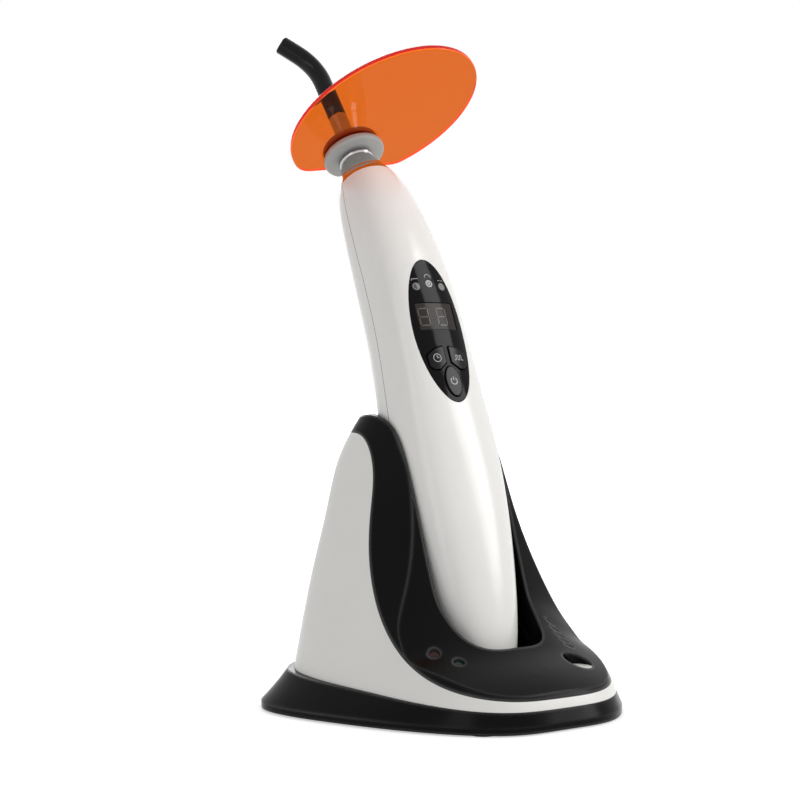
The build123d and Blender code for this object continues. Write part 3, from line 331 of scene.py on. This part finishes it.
# ---------------------------------------------------------------- feet and screws
# Four soft rubber discs glued into recesses, and three zinc-plated screws from below.
# The guide's O-ring is of the same rubber.
RUBBER_BLACK = (0.022, 0.022, 0.022, 1.0)
RUBBER_SHADE = (0.035, 0.034, 0.033, 1.0)
ZINC_GREY = (0.60, 0.61, 0.60, 1.0)
ZINC_SHADE = (0.50, 0.50, 0.47, 1.0)
METAL_GRAIN = 0.000004


def metal(name, colour, shade, roughness, spread, grain_size):
    """A bare or plated metal on the same cloudy skin."""
    material = moulded_plastic(name, colour, shade, roughness, spread, grain_size, METAL_GRAIN)
    material.node_tree.nodes["Principled BSDF"].inputs["Metallic"].default_value = 1.0
    return material


foot_rubber = moulded_plastic(
    "foot_rubber", RUBBER_BLACK, RUBBER_SHADE,
    roughness=0.8, spread=0.15, grain_size=0.0008, grain_depth=0.00006,
)
finish_node("rubber_feet", foot_rubber)
finish_node("guide_oring", foot_rubber)
zinc_plate = metal("zinc_plate", ZINC_GREY, ZINC_SHADE, roughness=0.34, spread=0.15, grain_size=0.0006)
finish_node("base_screws", zinc_plate)

# ---------------------------------------------------------------- lamps and light meter
# Two tinted light pipes, the smoked bar whose five ribs show through the deck, and the
# opal disc over the sensor.
LAMP_RED = (0.045, 0.006, 0.005, 1.0)
LAMP_RED_SHADE = (0.025, 0.004, 0.003, 1.0)
LAMP_GREEN = (0.006, 0.030, 0.011, 1.0)
LAMP_GREEN_SHADE = (0.004, 0.018, 0.007, 1.0)
METER_SMOKE = (0.002, 0.002, 0.002, 1.0)
METER_SMOKE_SHADE = (0.003, 0.003, 0.003, 1.0)
OPAL_WHITE = (0.86, 0.86, 0.84, 1.0)
OPAL_SHADE = (0.80, 0.80, 0.77, 1.0)
OPAL_MILKINESS = 0.3
OPAL_DEPTH = 0.001              # how far light wanders inside the disc

for name, finish, colour, shade in (
    ("charge_lamp", "lamp_red", LAMP_RED, LAMP_RED_SHADE),
    ("ready_lamp", "lamp_green", LAMP_GREEN, LAMP_GREEN_SHADE),
):
    light_pipe = moulded_plastic(
        finish, colour, shade,
        roughness=0.12, spread=0.06, grain_size=0.0005, grain_depth=0.000005, specular=0.2,
    )
    finish_node(name, light_pipe)
meter_smoke = moulded_plastic(
    "meter_smoke", METER_SMOKE, METER_SMOKE_SHADE,
    roughness=0.2, spread=0.08, grain_size=0.0005, grain_depth=0.000005, specular=0.05,
)
finish_node("meter_bar", meter_smoke)
opal_white = moulded_plastic(
    "opal_white", OPAL_WHITE, OPAL_SHADE,
    roughness=0.3, spread=0.08, grain_size=0.0005, grain_depth=0.000005,
)
opal_shader = opal_white.node_tree.nodes["Principled BSDF"]
opal_shader.inputs["Subsurface Weight"].default_value = OPAL_MILKINESS
opal_shader.inputs["Subsurface Scale"].default_value = OPAL_DEPTH
finish_node("sensor_diffuser", opal_white)

# ---------------------------------------------------------------- boards and contacts
# Glass-epoxy boards under green solder mask, a nylon contact block and inlet, and
# gold-plated pins and pads.
MASK_GREEN = (0.012, 0.11, 0.04, 1.0)
MASK_SHADE = (0.01, 0.085, 0.03, 1.0)
NYLON_BLACK = (0.016, 0.016, 0.017, 1.0)
NYLON_SHADE = (0.024, 0.024, 0.025, 1.0)
CONTACT_GOLD = (0.83, 0.62, 0.27, 1.0)
GOLD_SHADE = (0.76, 0.55, 0.22, 1.0)

solder_mask = moulded_plastic(
    "solder_mask", MASK_GREEN, MASK_SHADE,
    roughness=0.28, spread=0.1, grain_size=0.0009, grain_depth=0.00002,
)
black_nylon = moulded_plastic(
    "black_nylon", NYLON_BLACK, NYLON_SHADE,
    roughness=0.45, spread=0.12, grain_size=0.0005, grain_depth=0.00003,
)
gold_plate = metal("gold_plate", CONTACT_GOLD, GOLD_SHADE, roughness=0.22, spread=0.12, grain_size=0.0005)
for name in ("stand_board", "main_board"):
    finish_node(name, solder_mask)
for name in ("dc_jack", "contact_block", "tact_switches"):
    finish_node(name, black_nylon)
for name in ("contact_pin_left", "contact_pin_right", "charge_pads"):
    finish_node(name, gold_plate)

# ---------------------------------------------------------------- shells of the handpiece
# Two glossy white ABS shells, front and back, that meet along both sides in a hairline
# joint, on the surface that the bent spine sweeps sideways. Their upper ends are plated
# like the nose, down to a plane across its axis.
SHELL_WHITE = (0.94, 0.92, 0.885, 1.0)
SHELL_SHADE = (0.89, 0.87, 0.84, 1.0)
JOINT_GREY = (0.24, 0.23, 0.22, 1.0)
SPINE_CENTRE_Y = 0.26550                # centre of the spine's bend
SPINE_CENTRE_Z = 0.03926
SPINE_RADIUS = 0.24828
BEND_FOOT = 0.12417                     # height where the bend ends
GRIP_LEAN = radians(20.0)
GRIP_FOOT_Y = -0.0130
JOINT_HALF_WIDTH = 0.00008
JOINT_SOFTNESS = 0.00012
NOSE_LEAN = radians(36.5)
NOSE_BEAD = Vector((0.0, 0.073527, 0.197228))
PLATED_LENGTH = 0.0112                  # from the bead down
NOSE_NICKEL = (0.60, 0.59, 0.57, 1.0)
NOSE_GLOSS = 0.08

shell_white = moulded_plastic(
    "shell_white", SHELL_WHITE, SHELL_SHADE,
    roughness=0.2, spread=0.06, grain_size=0.0009, grain_depth=0.000006, specular=0.4,
)
shell_tree = shell_white.node_tree
shell_skin = shell_tree.nodes["skin"]
shell_shader = shell_tree.nodes["Principled BSDF"]
shell_place = add_node(shell_tree, "ShaderNodeTexCoord")
shell_axes = add_node(shell_tree, "ShaderNodeSeparateXYZ")
feed(shell_tree, shell_place.outputs["Object"], shell_axes.inputs[0])

# how far a point is from the joint's surface, in the bend and in the straight grip
from_centre_y = calc(shell_tree, "SUBTRACT", shell_axes.outputs["Y"], SPINE_CENTRE_Y)
from_centre_z = calc(shell_tree, "SUBTRACT", shell_axes.outputs["Z"], SPINE_CENTRE_Z)
reach_squared = calc(
    shell_tree,
    "ADD",
    calc(shell_tree, "MULTIPLY", from_centre_y, from_centre_y),
    calc(shell_tree, "MULTIPLY", from_centre_z, from_centre_z),
)
off_bend = calc(shell_tree, "SUBTRACT", calc(shell_tree, "SQRT", reach_squared), SPINE_RADIUS)
grip_y = calc(shell_tree, "MULTIPLY_ADD", shell_axes.outputs["Z"], tan(GRIP_LEAN), GRIP_FOOT_Y)
behind_grip = calc(shell_tree, "SUBTRACT", grip_y, shell_axes.outputs["Y"])
off_grip = calc(shell_tree, "MULTIPLY", behind_grip, cos(GRIP_LEAN))
on_bend = calc(shell_tree, "GREATER_THAN", shell_axes.outputs["Z"], BEND_FOOT)
off_joint = calc(shell_tree, "ABSOLUTE", blend(shell_tree, "FLOAT", on_bend, off_grip, off_bend))
joint_edge = JOINT_HALF_WIDTH + JOINT_SOFTNESS
joint_mask = fade(shell_tree, off_joint, JOINT_HALF_WIDTH, joint_edge, 1.0, 0.0)
jointed = blend(shell_tree, "RGBA", joint_mask, shell_skin.outputs["Colour"], JOINT_GREY)

nose_way = Vector((0.0, sin(NOSE_LEAN), cos(NOSE_LEAN)))
plating_end = NOSE_BEAD.dot(nose_way) - PLATED_LENGTH
up_nose = dot(shell_tree, shell_place.outputs["Object"], nose_way)
plated = calc(shell_tree, "GREATER_THAN", up_nose, plating_end)
shell_colour = blend(shell_tree, "RGBA", plated, jointed, NOSE_NICKEL)
shell_gloss = blend(shell_tree, "FLOAT", plated, shell_skin.outputs["Roughness"], NOSE_GLOSS)
feed(shell_tree, shell_colour, shell_shader.inputs["Base Color"])
feed(shell_tree, shell_gloss, shell_shader.inputs["Roughness"])
feed(shell_tree, plated, shell_shader.inputs["Metallic"])
for name in ("front_shell", "back_shell"):
    finish_node(name, shell_white)

# ---------------------------------------------------------------- nose and cooling
# A polished nickel-plated nose cone, the lens and lamp behind it and a turned
# aluminium cooler, with the cell in its shrink sleeve below.
NICKEL_SHADE = (0.54, 0.53, 0.51, 1.0)
ALUMINIUM_GREY = (0.78, 0.79, 0.80, 1.0)
ALUMINIUM_SHADE = (0.70, 0.71, 0.72, 1.0)
BOARD_CERAMIC = (0.80, 0.80, 0.76, 1.0)
CERAMIC_SHADE = (0.72, 0.72, 0.66, 1.0)
SLEEVE_BLUE = (0.03, 0.10, 0.32, 1.0)
SLEEVE_SHADE = (0.025, 0.08, 0.26, 1.0)
GLASS_CLEAR = (0.96, 0.98, 1.0, 1.0)
GLASS_ROUGHNESS = 0.02
GLASS_IOR = 1.5

polished_nickel = metal(
    "polished_nickel", NOSE_NICKEL, NICKEL_SHADE, roughness=NOSE_GLOSS, spread=0.04, grain_size=0.0006
)
turned_aluminium = metal(
    "turned_aluminium", ALUMINIUM_GREY, ALUMINIUM_SHADE, roughness=0.3, spread=0.12, grain_size=0.0004
)
lamp_board = moulded_plastic(
    "lamp_board", BOARD_CERAMIC, CERAMIC_SHADE,
    roughness=0.4, spread=0.1, grain_size=0.0006, grain_depth=0.00002,
)
cell_sleeve = moulded_plastic(
    "cell_sleeve", SLEEVE_BLUE, SLEEVE_SHADE,
    roughness=0.3, spread=0.1, grain_size=0.002, grain_depth=0.00003,
)
finish_node("nose_cone", polished_nickel)
finish_node("heat_sink", turned_aluminium)
finish_node("led_module", lamp_board)
finish_node("battery", cell_sleeve)
clear_glass, glass_shader = new_material("clear_glass")
glass_shader.inputs["Base Color"].default_value = GLASS_CLEAR
glass_shader.inputs["Transmission Weight"].default_value = 1.0
glass_shader.inputs["Roughness"].default_value = GLASS_ROUGHNESS
glass_shader.inputs["IOR"].default_value = GLASS_IOR
finish_node("lens", clear_glass)

# ---------------------------------------------------------------- control panel
# A glossy black inlay glued flush into the front shell, with a smoked display window,
# three clear lamp windows and three keys that stand a little proud.
PANEL_BLACK = (0.0035, 0.0035, 0.0038, 1.0)
PANEL_SHADE = (0.005, 0.005, 0.0055, 1.0)
KEY_BLACK = (0.006, 0.006, 0.0062, 1.0)
KEY_SHADE = (0.008, 0.008, 0.0083, 1.0)
WINDOW_SMOKE = (0.040, 0.034, 0.031, 1.0)
WINDOW_SHADE = (0.048, 0.041, 0.037, 1.0)
LAMP_CLEAR = (0.30, 0.30, 0.29, 1.0)
LAMP_SHADE = (0.16, 0.16, 0.155, 1.0)

panel_black = moulded_plastic(
    "panel_black", PANEL_BLACK, PANEL_SHADE,
    roughness=0.10, spread=0.05, grain_size=0.0008, grain_depth=0.000004, specular=0.08,
)
key_black = moulded_plastic(
    "key_black", KEY_BLACK, KEY_SHADE,
    roughness=0.18, spread=0.06, grain_size=0.0008, grain_depth=0.000006, specular=0.14, edge=0.0005,
)
display_smoke = moulded_plastic(
    "display_smoke", WINDOW_SMOKE, WINDOW_SHADE,
    roughness=0.10, spread=0.05, grain_size=0.0009, grain_depth=0.000004, specular=0.08,
)
indicator_clear = moulded_plastic(
    "indicator_clear", LAMP_CLEAR, LAMP_SHADE,
    roughness=0.15, spread=0.06, grain_size=0.0016, grain_depth=0.000004,
)
finish_node("control_panel", panel_black)
finish_node("display", display_smoke)
finish_node("indicator_lamps", indicator_clear)
for name in ("time_button", "mode_button", "power_button"):
    finish_node(name, key_black)

# ---------------------------------------------------------------- printed marks
# Screen-printed signs: the bars of two unlit digits in the window, a clock, a pulse
# train and the power sign on the keys, a small sign over each lamp and a ring mask on
# the second lamp, and a painted dark reflection over half of the first lamp. Spots are
# given as (across, up) from the middle of the panel.
PRINT_GREY = (0.56, 0.56, 0.55, 1.0)
PRINT_GREY_SHADE = (0.48, 0.48, 0.47, 1.0)
SEGMENT_GREY = (0.100, 0.088, 0.080, 1.0)
SEGMENT_SHADE = (0.080, 0.071, 0.065, 1.0)
MASK_AND_REFLECTION_BLACK = (0.02, 0.02, 0.02, 1.0)
MASK_AND_REFLECTION_SHADE = (0.03, 0.03, 0.03, 1.0)
MARK_LIFT = 0.00003
MARK_SINK = 0.00005
MARK_STEP = 0.0004
MARK_CAST = 0.006                       # where the ink starts, out from the panel
FULL_TURN = 360.0
ARC_STEPS = 8                           # at least
PANEL_LEAN = radians(21.9)
PANEL_MIDDLE = Vector((0.0, 0.01992, 0.13277))
PANEL_UP = Vector((0.0, sin(PANEL_LEAN), cos(PANEL_LEAN)))
PANEL_RIGHT = Vector((1.0, 0.0, 0.0))
PANEL_OUT = PANEL_RIGHT.cross(PANEL_UP)
DIGIT_SPOTS = (-0.0055, 0.0021)
DIGIT_MIDDLE = 0.0052
DIGIT_HALF_WIDTH = 0.0019
DIGIT_HALF_HEIGHT = 0.0033
DIGIT_STROKE = 0.00042
DIGIT_GAP = 0.7                         # of a stroke, from a corner to a bar's end
SIGN_STROKE = 0.00030
KEY_SIGN_SPOT = (0.0047, -0.0110)
CLOCK_RADIUS = 0.0015
CLOCK_LONG_HAND = 0.65                  # of the clock's radius
CLOCK_SHORT_HAND = 0.5
POWER_SPOT = (0.0, -0.0200)
POWER_RADIUS = 0.0013
POWER_STROKE = 0.00042
POWER_ARC = (125.0, 415.0)              # degrees, open at the top
POWER_BAR = (0.15, 1.25)                # of the sign's radius, up from its middle
PULSE_STEPS = 5
PULSE_HEIGHT = 0.0009
PULSE_WIDTH = 0.0008
INDICATOR_SPOTS = ((-0.0056, 0.0172), (0.0, 0.0182), (0.0056, 0.0172))
SIGN_ABOVE = 0.0024                     # over the middle of its lamp
SIGN_REACH = 0.0013
LAMP_STROKE = 0.00028
DASH_STARTS = (-1.0, 0.25)              # of a sign's reach
DASH_LENGTH = 0.75
LAMP_MARK_RADIUS = 0.0010
# the painted dark reflection over half of the first lamp
HALF_REFLECTION_MIDDLE = 0.55                 # of the marks' radius
HALF_REFLECTION_WIDTH = 0.9
HALF_REFLECTION_ARC = (100.0, 280.0)
RING_MASK_SIZE = 0.7


def printed_bar(ink, start, end, width):
    """A straight line of ink from start to end, flat for now: a stretched unit square."""
    run = Vector(end) - Vector(start)
    middle = (Vector(start) + Vector(end)) / 2
    turn = Matrix.Rotation(run.angle_signed(Vector((1.0, 0.0))), 4, "Z")
    stretch = Matrix.Diagonal((run.length, width, 1.0, 1.0))
    bmesh.ops.create_grid(
        ink,
        x_segments=max(1, round(run.length / MARK_STEP)),
        y_segments=1,
        size=0.5,
        matrix=Matrix.Translation(middle.to_3d()) @ turn @ stretch,
    )


def printed_arc(ink, centre, radius, start, end, width):
    """A curved line of ink between two angles in degrees, flat for now."""
    along = Vector((cos(radians(start)), sin(radians(start)), 0.0))
    ends = [
        ink.verts.new(Vector(centre).to_3d() + along * (radius + side * width / 2)) for side in (-1, 1)
    ]
    edge = ink.edges.new(ends)
    bmesh.ops.spin(
        ink,
        geom=ends + [edge],
        cent=Vector(centre).to_3d(),
        axis=(0.0, 0.0, 1.0),
        angle=radians(end - start),
        steps=max(ARC_STEPS, round(radius * radians(end - start) / MARK_STEP)),
        use_merge=end - start == FULL_TURN,
    )


def lay_mark(name, ink, on_node, body, ink_material):
    """Lays flat ink on the panel, down on a CAD node's surface, as one thin closed piece."""
    for vert in ink.verts:
        above = PANEL_MIDDLE + PANEL_RIGHT * vert.co.x + PANEL_UP * vert.co.y + PANEL_OUT * MARK_CAST
        place = nodes[on_node].ray_cast(above, -PANEL_OUT)[1]
        vert.co = place + PANEL_OUT * MARK_LIFT
    lower = bmesh.ops.extrude_face_region(ink, geom=ink.faces[:], use_keep_orig=True)["geom"]
    bmesh.ops.translate(
        ink,
        verts=[item for item in lower if isinstance(item, bmesh.types.BMVert)],
        vec=-PANEL_OUT * (MARK_LIFT + MARK_SINK),
    )
    bmesh.ops.recalc_face_normals(ink, faces=ink.faces[:])
    piece = new_piece(name, ink, ink_material)
    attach(piece, body)


print_grey = moulded_plastic(
    "print_grey", PRINT_GREY, PRINT_GREY_SHADE,
    roughness=0.5, spread=0.1, grain_size=0.0003, grain_depth=0.000004,
)
segment_grey = moulded_plastic(
    "segment_grey", SEGMENT_GREY, SEGMENT_SHADE,
    roughness=0.3, spread=0.1, grain_size=0.0005, grain_depth=0.000004,
)
black_print_and_reflection = moulded_plastic(
    "black_print_and_reflection", MASK_AND_REFLECTION_BLACK, MASK_AND_REFLECTION_SHADE,
    roughness=0.5, spread=0.1, grain_size=0.0003, grain_depth=0.000004,
)

digit_ink = bmesh.new()
bar_end = DIGIT_STROKE * DIGIT_GAP
low, mid, high = (DIGIT_MIDDLE + DIGIT_HALF_HEIGHT * level for level in (-1, 0, 1))
for spot in DIGIT_SPOTS:
    left, right = spot - DIGIT_HALF_WIDTH, spot + DIGIT_HALF_WIDTH
    for level in (low, mid, high):
        printed_bar(digit_ink, (left + bar_end, level), (right - bar_end, level), DIGIT_STROKE)
    for side in (left, right):
        printed_bar(digit_ink, (side, low + bar_end), (side, mid - bar_end), DIGIT_STROKE)
        printed_bar(digit_ink, (side, mid + bar_end), (side, high - bar_end), DIGIT_STROKE)
lay_mark("digit_bars", digit_ink, "display", "handpiece", segment_grey)

clock_ink = bmesh.new()
clock_across, clock_up = -KEY_SIGN_SPOT[0], KEY_SIGN_SPOT[1]
hand_top = clock_up + CLOCK_RADIUS * CLOCK_LONG_HAND
hand_right = clock_across + CLOCK_RADIUS * CLOCK_SHORT_HAND
printed_arc(clock_ink, (clock_across, clock_up), CLOCK_RADIUS, 0.0, FULL_TURN, SIGN_STROKE)
printed_bar(clock_ink, (clock_across, clock_up), (clock_across, hand_top), SIGN_STROKE)
printed_bar(clock_ink, (clock_across, clock_up), (hand_right, clock_up), SIGN_STROKE)
lay_mark("time_sign", clock_ink, "time_button", "time_button", print_grey)

pulse_ink = bmesh.new()
pulse_across, pulse_up = KEY_SIGN_SPOT
pulse_low, pulse_high = pulse_up - PULSE_HEIGHT, pulse_up + PULSE_HEIGHT
for step in range(PULSE_STEPS):
    level = pulse_high if step % 2 else pulse_low
    start = pulse_across + (step - PULSE_STEPS / 2) * PULSE_WIDTH
    printed_bar(pulse_ink, (start, level), (start + PULSE_WIDTH, level), SIGN_STROKE)
    if step:
        printed_bar(pulse_ink, (start, pulse_low), (start, pulse_high), SIGN_STROKE)
lay_mark("mode_sign", pulse_ink, "mode_button", "mode_button", print_grey)

power_ink = bmesh.new()
power_across, power_up = POWER_SPOT
bar_foot, bar_top = (power_up + POWER_RADIUS * share for share in POWER_BAR)
printed_arc(power_ink, POWER_SPOT, POWER_RADIUS, *POWER_ARC, POWER_STROKE)
printed_bar(power_ink, (power_across, bar_foot), (power_across, bar_top), POWER_STROKE)
lay_mark("power_sign", power_ink, "power_button", "power_button", print_grey)

# a bracket, an arch and two dashes for the three ways of curing
lamp_ink = bmesh.new()
(bracket_across, bracket_up), (arch_across, arch_up), (dash_across, dash_up) = (
    (across, up + SIGN_ABOVE) for across, up in INDICATOR_SPOTS
)
bracket_left, bracket_right = bracket_across - SIGN_REACH, bracket_across + SIGN_REACH
bracket_top = bracket_up + SIGN_REACH / 2
printed_bar(lamp_ink, (bracket_left, bracket_up), (bracket_left, bracket_top), LAMP_STROKE)
printed_bar(lamp_ink, (bracket_left, bracket_top), (bracket_right, bracket_top), LAMP_STROKE)
printed_arc(lamp_ink, (arch_across, arch_up), SIGN_REACH, 0.0, FULL_TURN / 2, LAMP_STROKE)
for share in DASH_STARTS:
    start = dash_across + SIGN_REACH * share
    printed_bar(lamp_ink, (start, dash_up), (start + SIGN_REACH * DASH_LENGTH, dash_up), LAMP_STROKE)
lay_mark("lamp_signs", lamp_ink, "control_panel", "handpiece", print_grey)

# on the clear lamps: a painted dark reflection over half of the first, a ring mask on the second
mask_and_reflection_ink = bmesh.new()
reflection_radius = LAMP_MARK_RADIUS * HALF_REFLECTION_MIDDLE
reflection_width = LAMP_MARK_RADIUS * HALF_REFLECTION_WIDTH
# painted reflection: the dark half of the first lamp, laid as black ink
printed_arc(mask_and_reflection_ink, INDICATOR_SPOTS[0], reflection_radius, *HALF_REFLECTION_ARC, reflection_width)
ring_radius = LAMP_MARK_RADIUS * RING_MASK_SIZE
printed_arc(mask_and_reflection_ink, INDICATOR_SPOTS[1], ring_radius, 0.0, FULL_TURN, LAMP_STROKE)
lay_mark("lamp_mask_and_reflection", mask_and_reflection_ink, "indicator_lamps", "handpiece", black_print_and_reflection)

# ---------------------------------------------------------------- light guide
# A bent rod of fused glass fibres in a black jacket, crimped in a polished steel
# ferrule whose collar sits on the nose, with its ground end left bare.
ROD_BLACK = (0.003, 0.003, 0.0033, 1.0)
ROD_SHADE = (0.005, 0.005, 0.0053, 1.0)
STEEL_GREY = (0.46, 0.46, 0.47, 1.0)
STEEL_SHADE = (0.38, 0.38, 0.39, 1.0)
FIBRE_GREY = (0.50, 0.53, 0.54, 1.0)
FIBRE_SHADE = (0.34, 0.37, 0.39, 1.0)
GUIDE_END = Vector((-0.01256, 0.10917, 0.24540))
GUIDE_TURN = radians(50.0)              # from the nose's axis to the guide's end
FACE_RADIUS = 0.0026
FACE_SEGMENTS = 48
FACE_RISE = 0.00002
FACE_SINK = 0.0001

rod_black = moulded_plastic(
    "rod_black", ROD_BLACK, ROD_SHADE,
    roughness=0.14, spread=0.06, grain_size=0.0007, grain_depth=0.000005, specular=0.16,
)
polished_steel = metal(
    "polished_steel", STEEL_GREY, STEEL_SHADE, roughness=0.16, spread=0.06, grain_size=0.0006
)
fibre_glass = moulded_plastic(
    "fibre_glass", FIBRE_GREY, FIBRE_SHADE,
    roughness=0.12, spread=0.08, grain_size=0.00012, grain_depth=0.00001,
)
finish_node("light_rod", rod_black)
finish_node("guide_ferrule", polished_steel)

end_face = bmesh.new()
bmesh.ops.create_cone(
    end_face,
    cap_ends=True,
    cap_tris=False,
    segments=FACE_SEGMENTS,
    radius1=FACE_RADIUS,
    radius2=FACE_RADIUS,
    depth=FACE_RISE + FACE_SINK,
)
end_way = Vector((-1.0, 0.0, 0.0)) * sin(GUIDE_TURN) + nose_way * cos(GUIDE_TURN)
face_turn = end_way.to_track_quat("Z", "Y").to_matrix()
face_offset = Vector((0.0, 0.0, (FACE_RISE - FACE_SINK) / 2))
for vert in end_face.verts:
    vert.co = GUIDE_END + face_turn @ (vert.co + face_offset)
fibre_face = new_piece("guide_end_face", end_face, fibre_glass)
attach(fibre_face, "light_guide")

# ---------------------------------------------------------------- shield and its grommet
# A flat oval of clear orange polycarbonate, snapped into the groove of a grey silicone
# grommet that grips the light guide. Its cut edge is red and carries a painted glow, an emission.
GROMMET_GREY = (0.47, 0.47, 0.455, 1.0)
GROMMET_SHADE = (0.42, 0.42, 0.405, 1.0)
SHIELD_ORANGE = (0.73, 0.135, 0.004, 1.0)
EDGE_RED = (0.72, 0.030, 0.022, 1.0)
NO_LIGHT = (0.0, 0.0, 0.0, 1.0)
# strength of the painted glow on the edge
PAINTED_EDGE_GLOW = 0.85
EDGE_FACING = 0.35                      # cosines to the plate's axis: below, an edge
FACE_FACING = 0.80                      # and above, a face
WIPE_SCALE = 60.0                       # wiping marks in the gloss
WIPE_DETAIL = 4.0
WIPE_ROUGHNESS = 0.02
SHIELD_IOR = 1.2                        # low, so that the thin plate bends little light
SHIELD_SPECULAR = 0.15

grommet_grey = moulded_plastic(
    "grommet_grey", GROMMET_GREY, GROMMET_SHADE,
    roughness=0.5, spread=0.12, grain_size=0.0005, grain_depth=0.00003,
)
finish_node("grommet", grommet_grey)
shield_orange, shield_shader = new_material("shield_orange")
shield_tree = shield_orange.node_tree
shield_place = add_node(shield_tree, "ShaderNodeTexCoord")
facing = calc(shield_tree, "ABSOLUTE", dot(shield_tree, shield_place.outputs["Normal"], nose_way))
edge_mask = fade(shield_tree, facing, EDGE_FACING, FACE_FACING, 1.0, 0.0)
shield_colour = blend(shield_tree, "RGBA", edge_mask, SHIELD_ORANGE, EDGE_RED)
# painted glow: the edge emits its red, the faces emit nothing
painted_glow_colour = blend(shield_tree, "RGBA", edge_mask, NO_LIGHT, EDGE_RED)
wiping = add_node(shield_tree, "ShaderNodeTexNoise")
wiping.inputs["Scale"].default_value = WIPE_SCALE
wiping.inputs["Detail"].default_value = WIPE_DETAIL
feed(shield_tree, shield_place.outputs["Object"], wiping.inputs["Vector"])
shield_gloss = calc(shield_tree, "MULTIPLY", wiping.outputs[0], WIPE_ROUGHNESS)
feed(shield_tree, shield_colour, shield_shader.inputs["Base Color"])
feed(shield_tree, shield_gloss, shield_shader.inputs["Roughness"])
feed(shield_tree, painted_glow_colour, shield_shader.inputs["Emission Color"])
shield_shader.inputs["Emission Strength"].default_value = PAINTED_EDGE_GLOW
shield_shader.inputs["Transmission Weight"].default_value = 1.0
shield_shader.inputs["IOR"].default_value = SHIELD_IOR
shield_shader.inputs["Specular IOR Level"].default_value = SHIELD_SPECULAR
finish_node("shield", shield_orange)
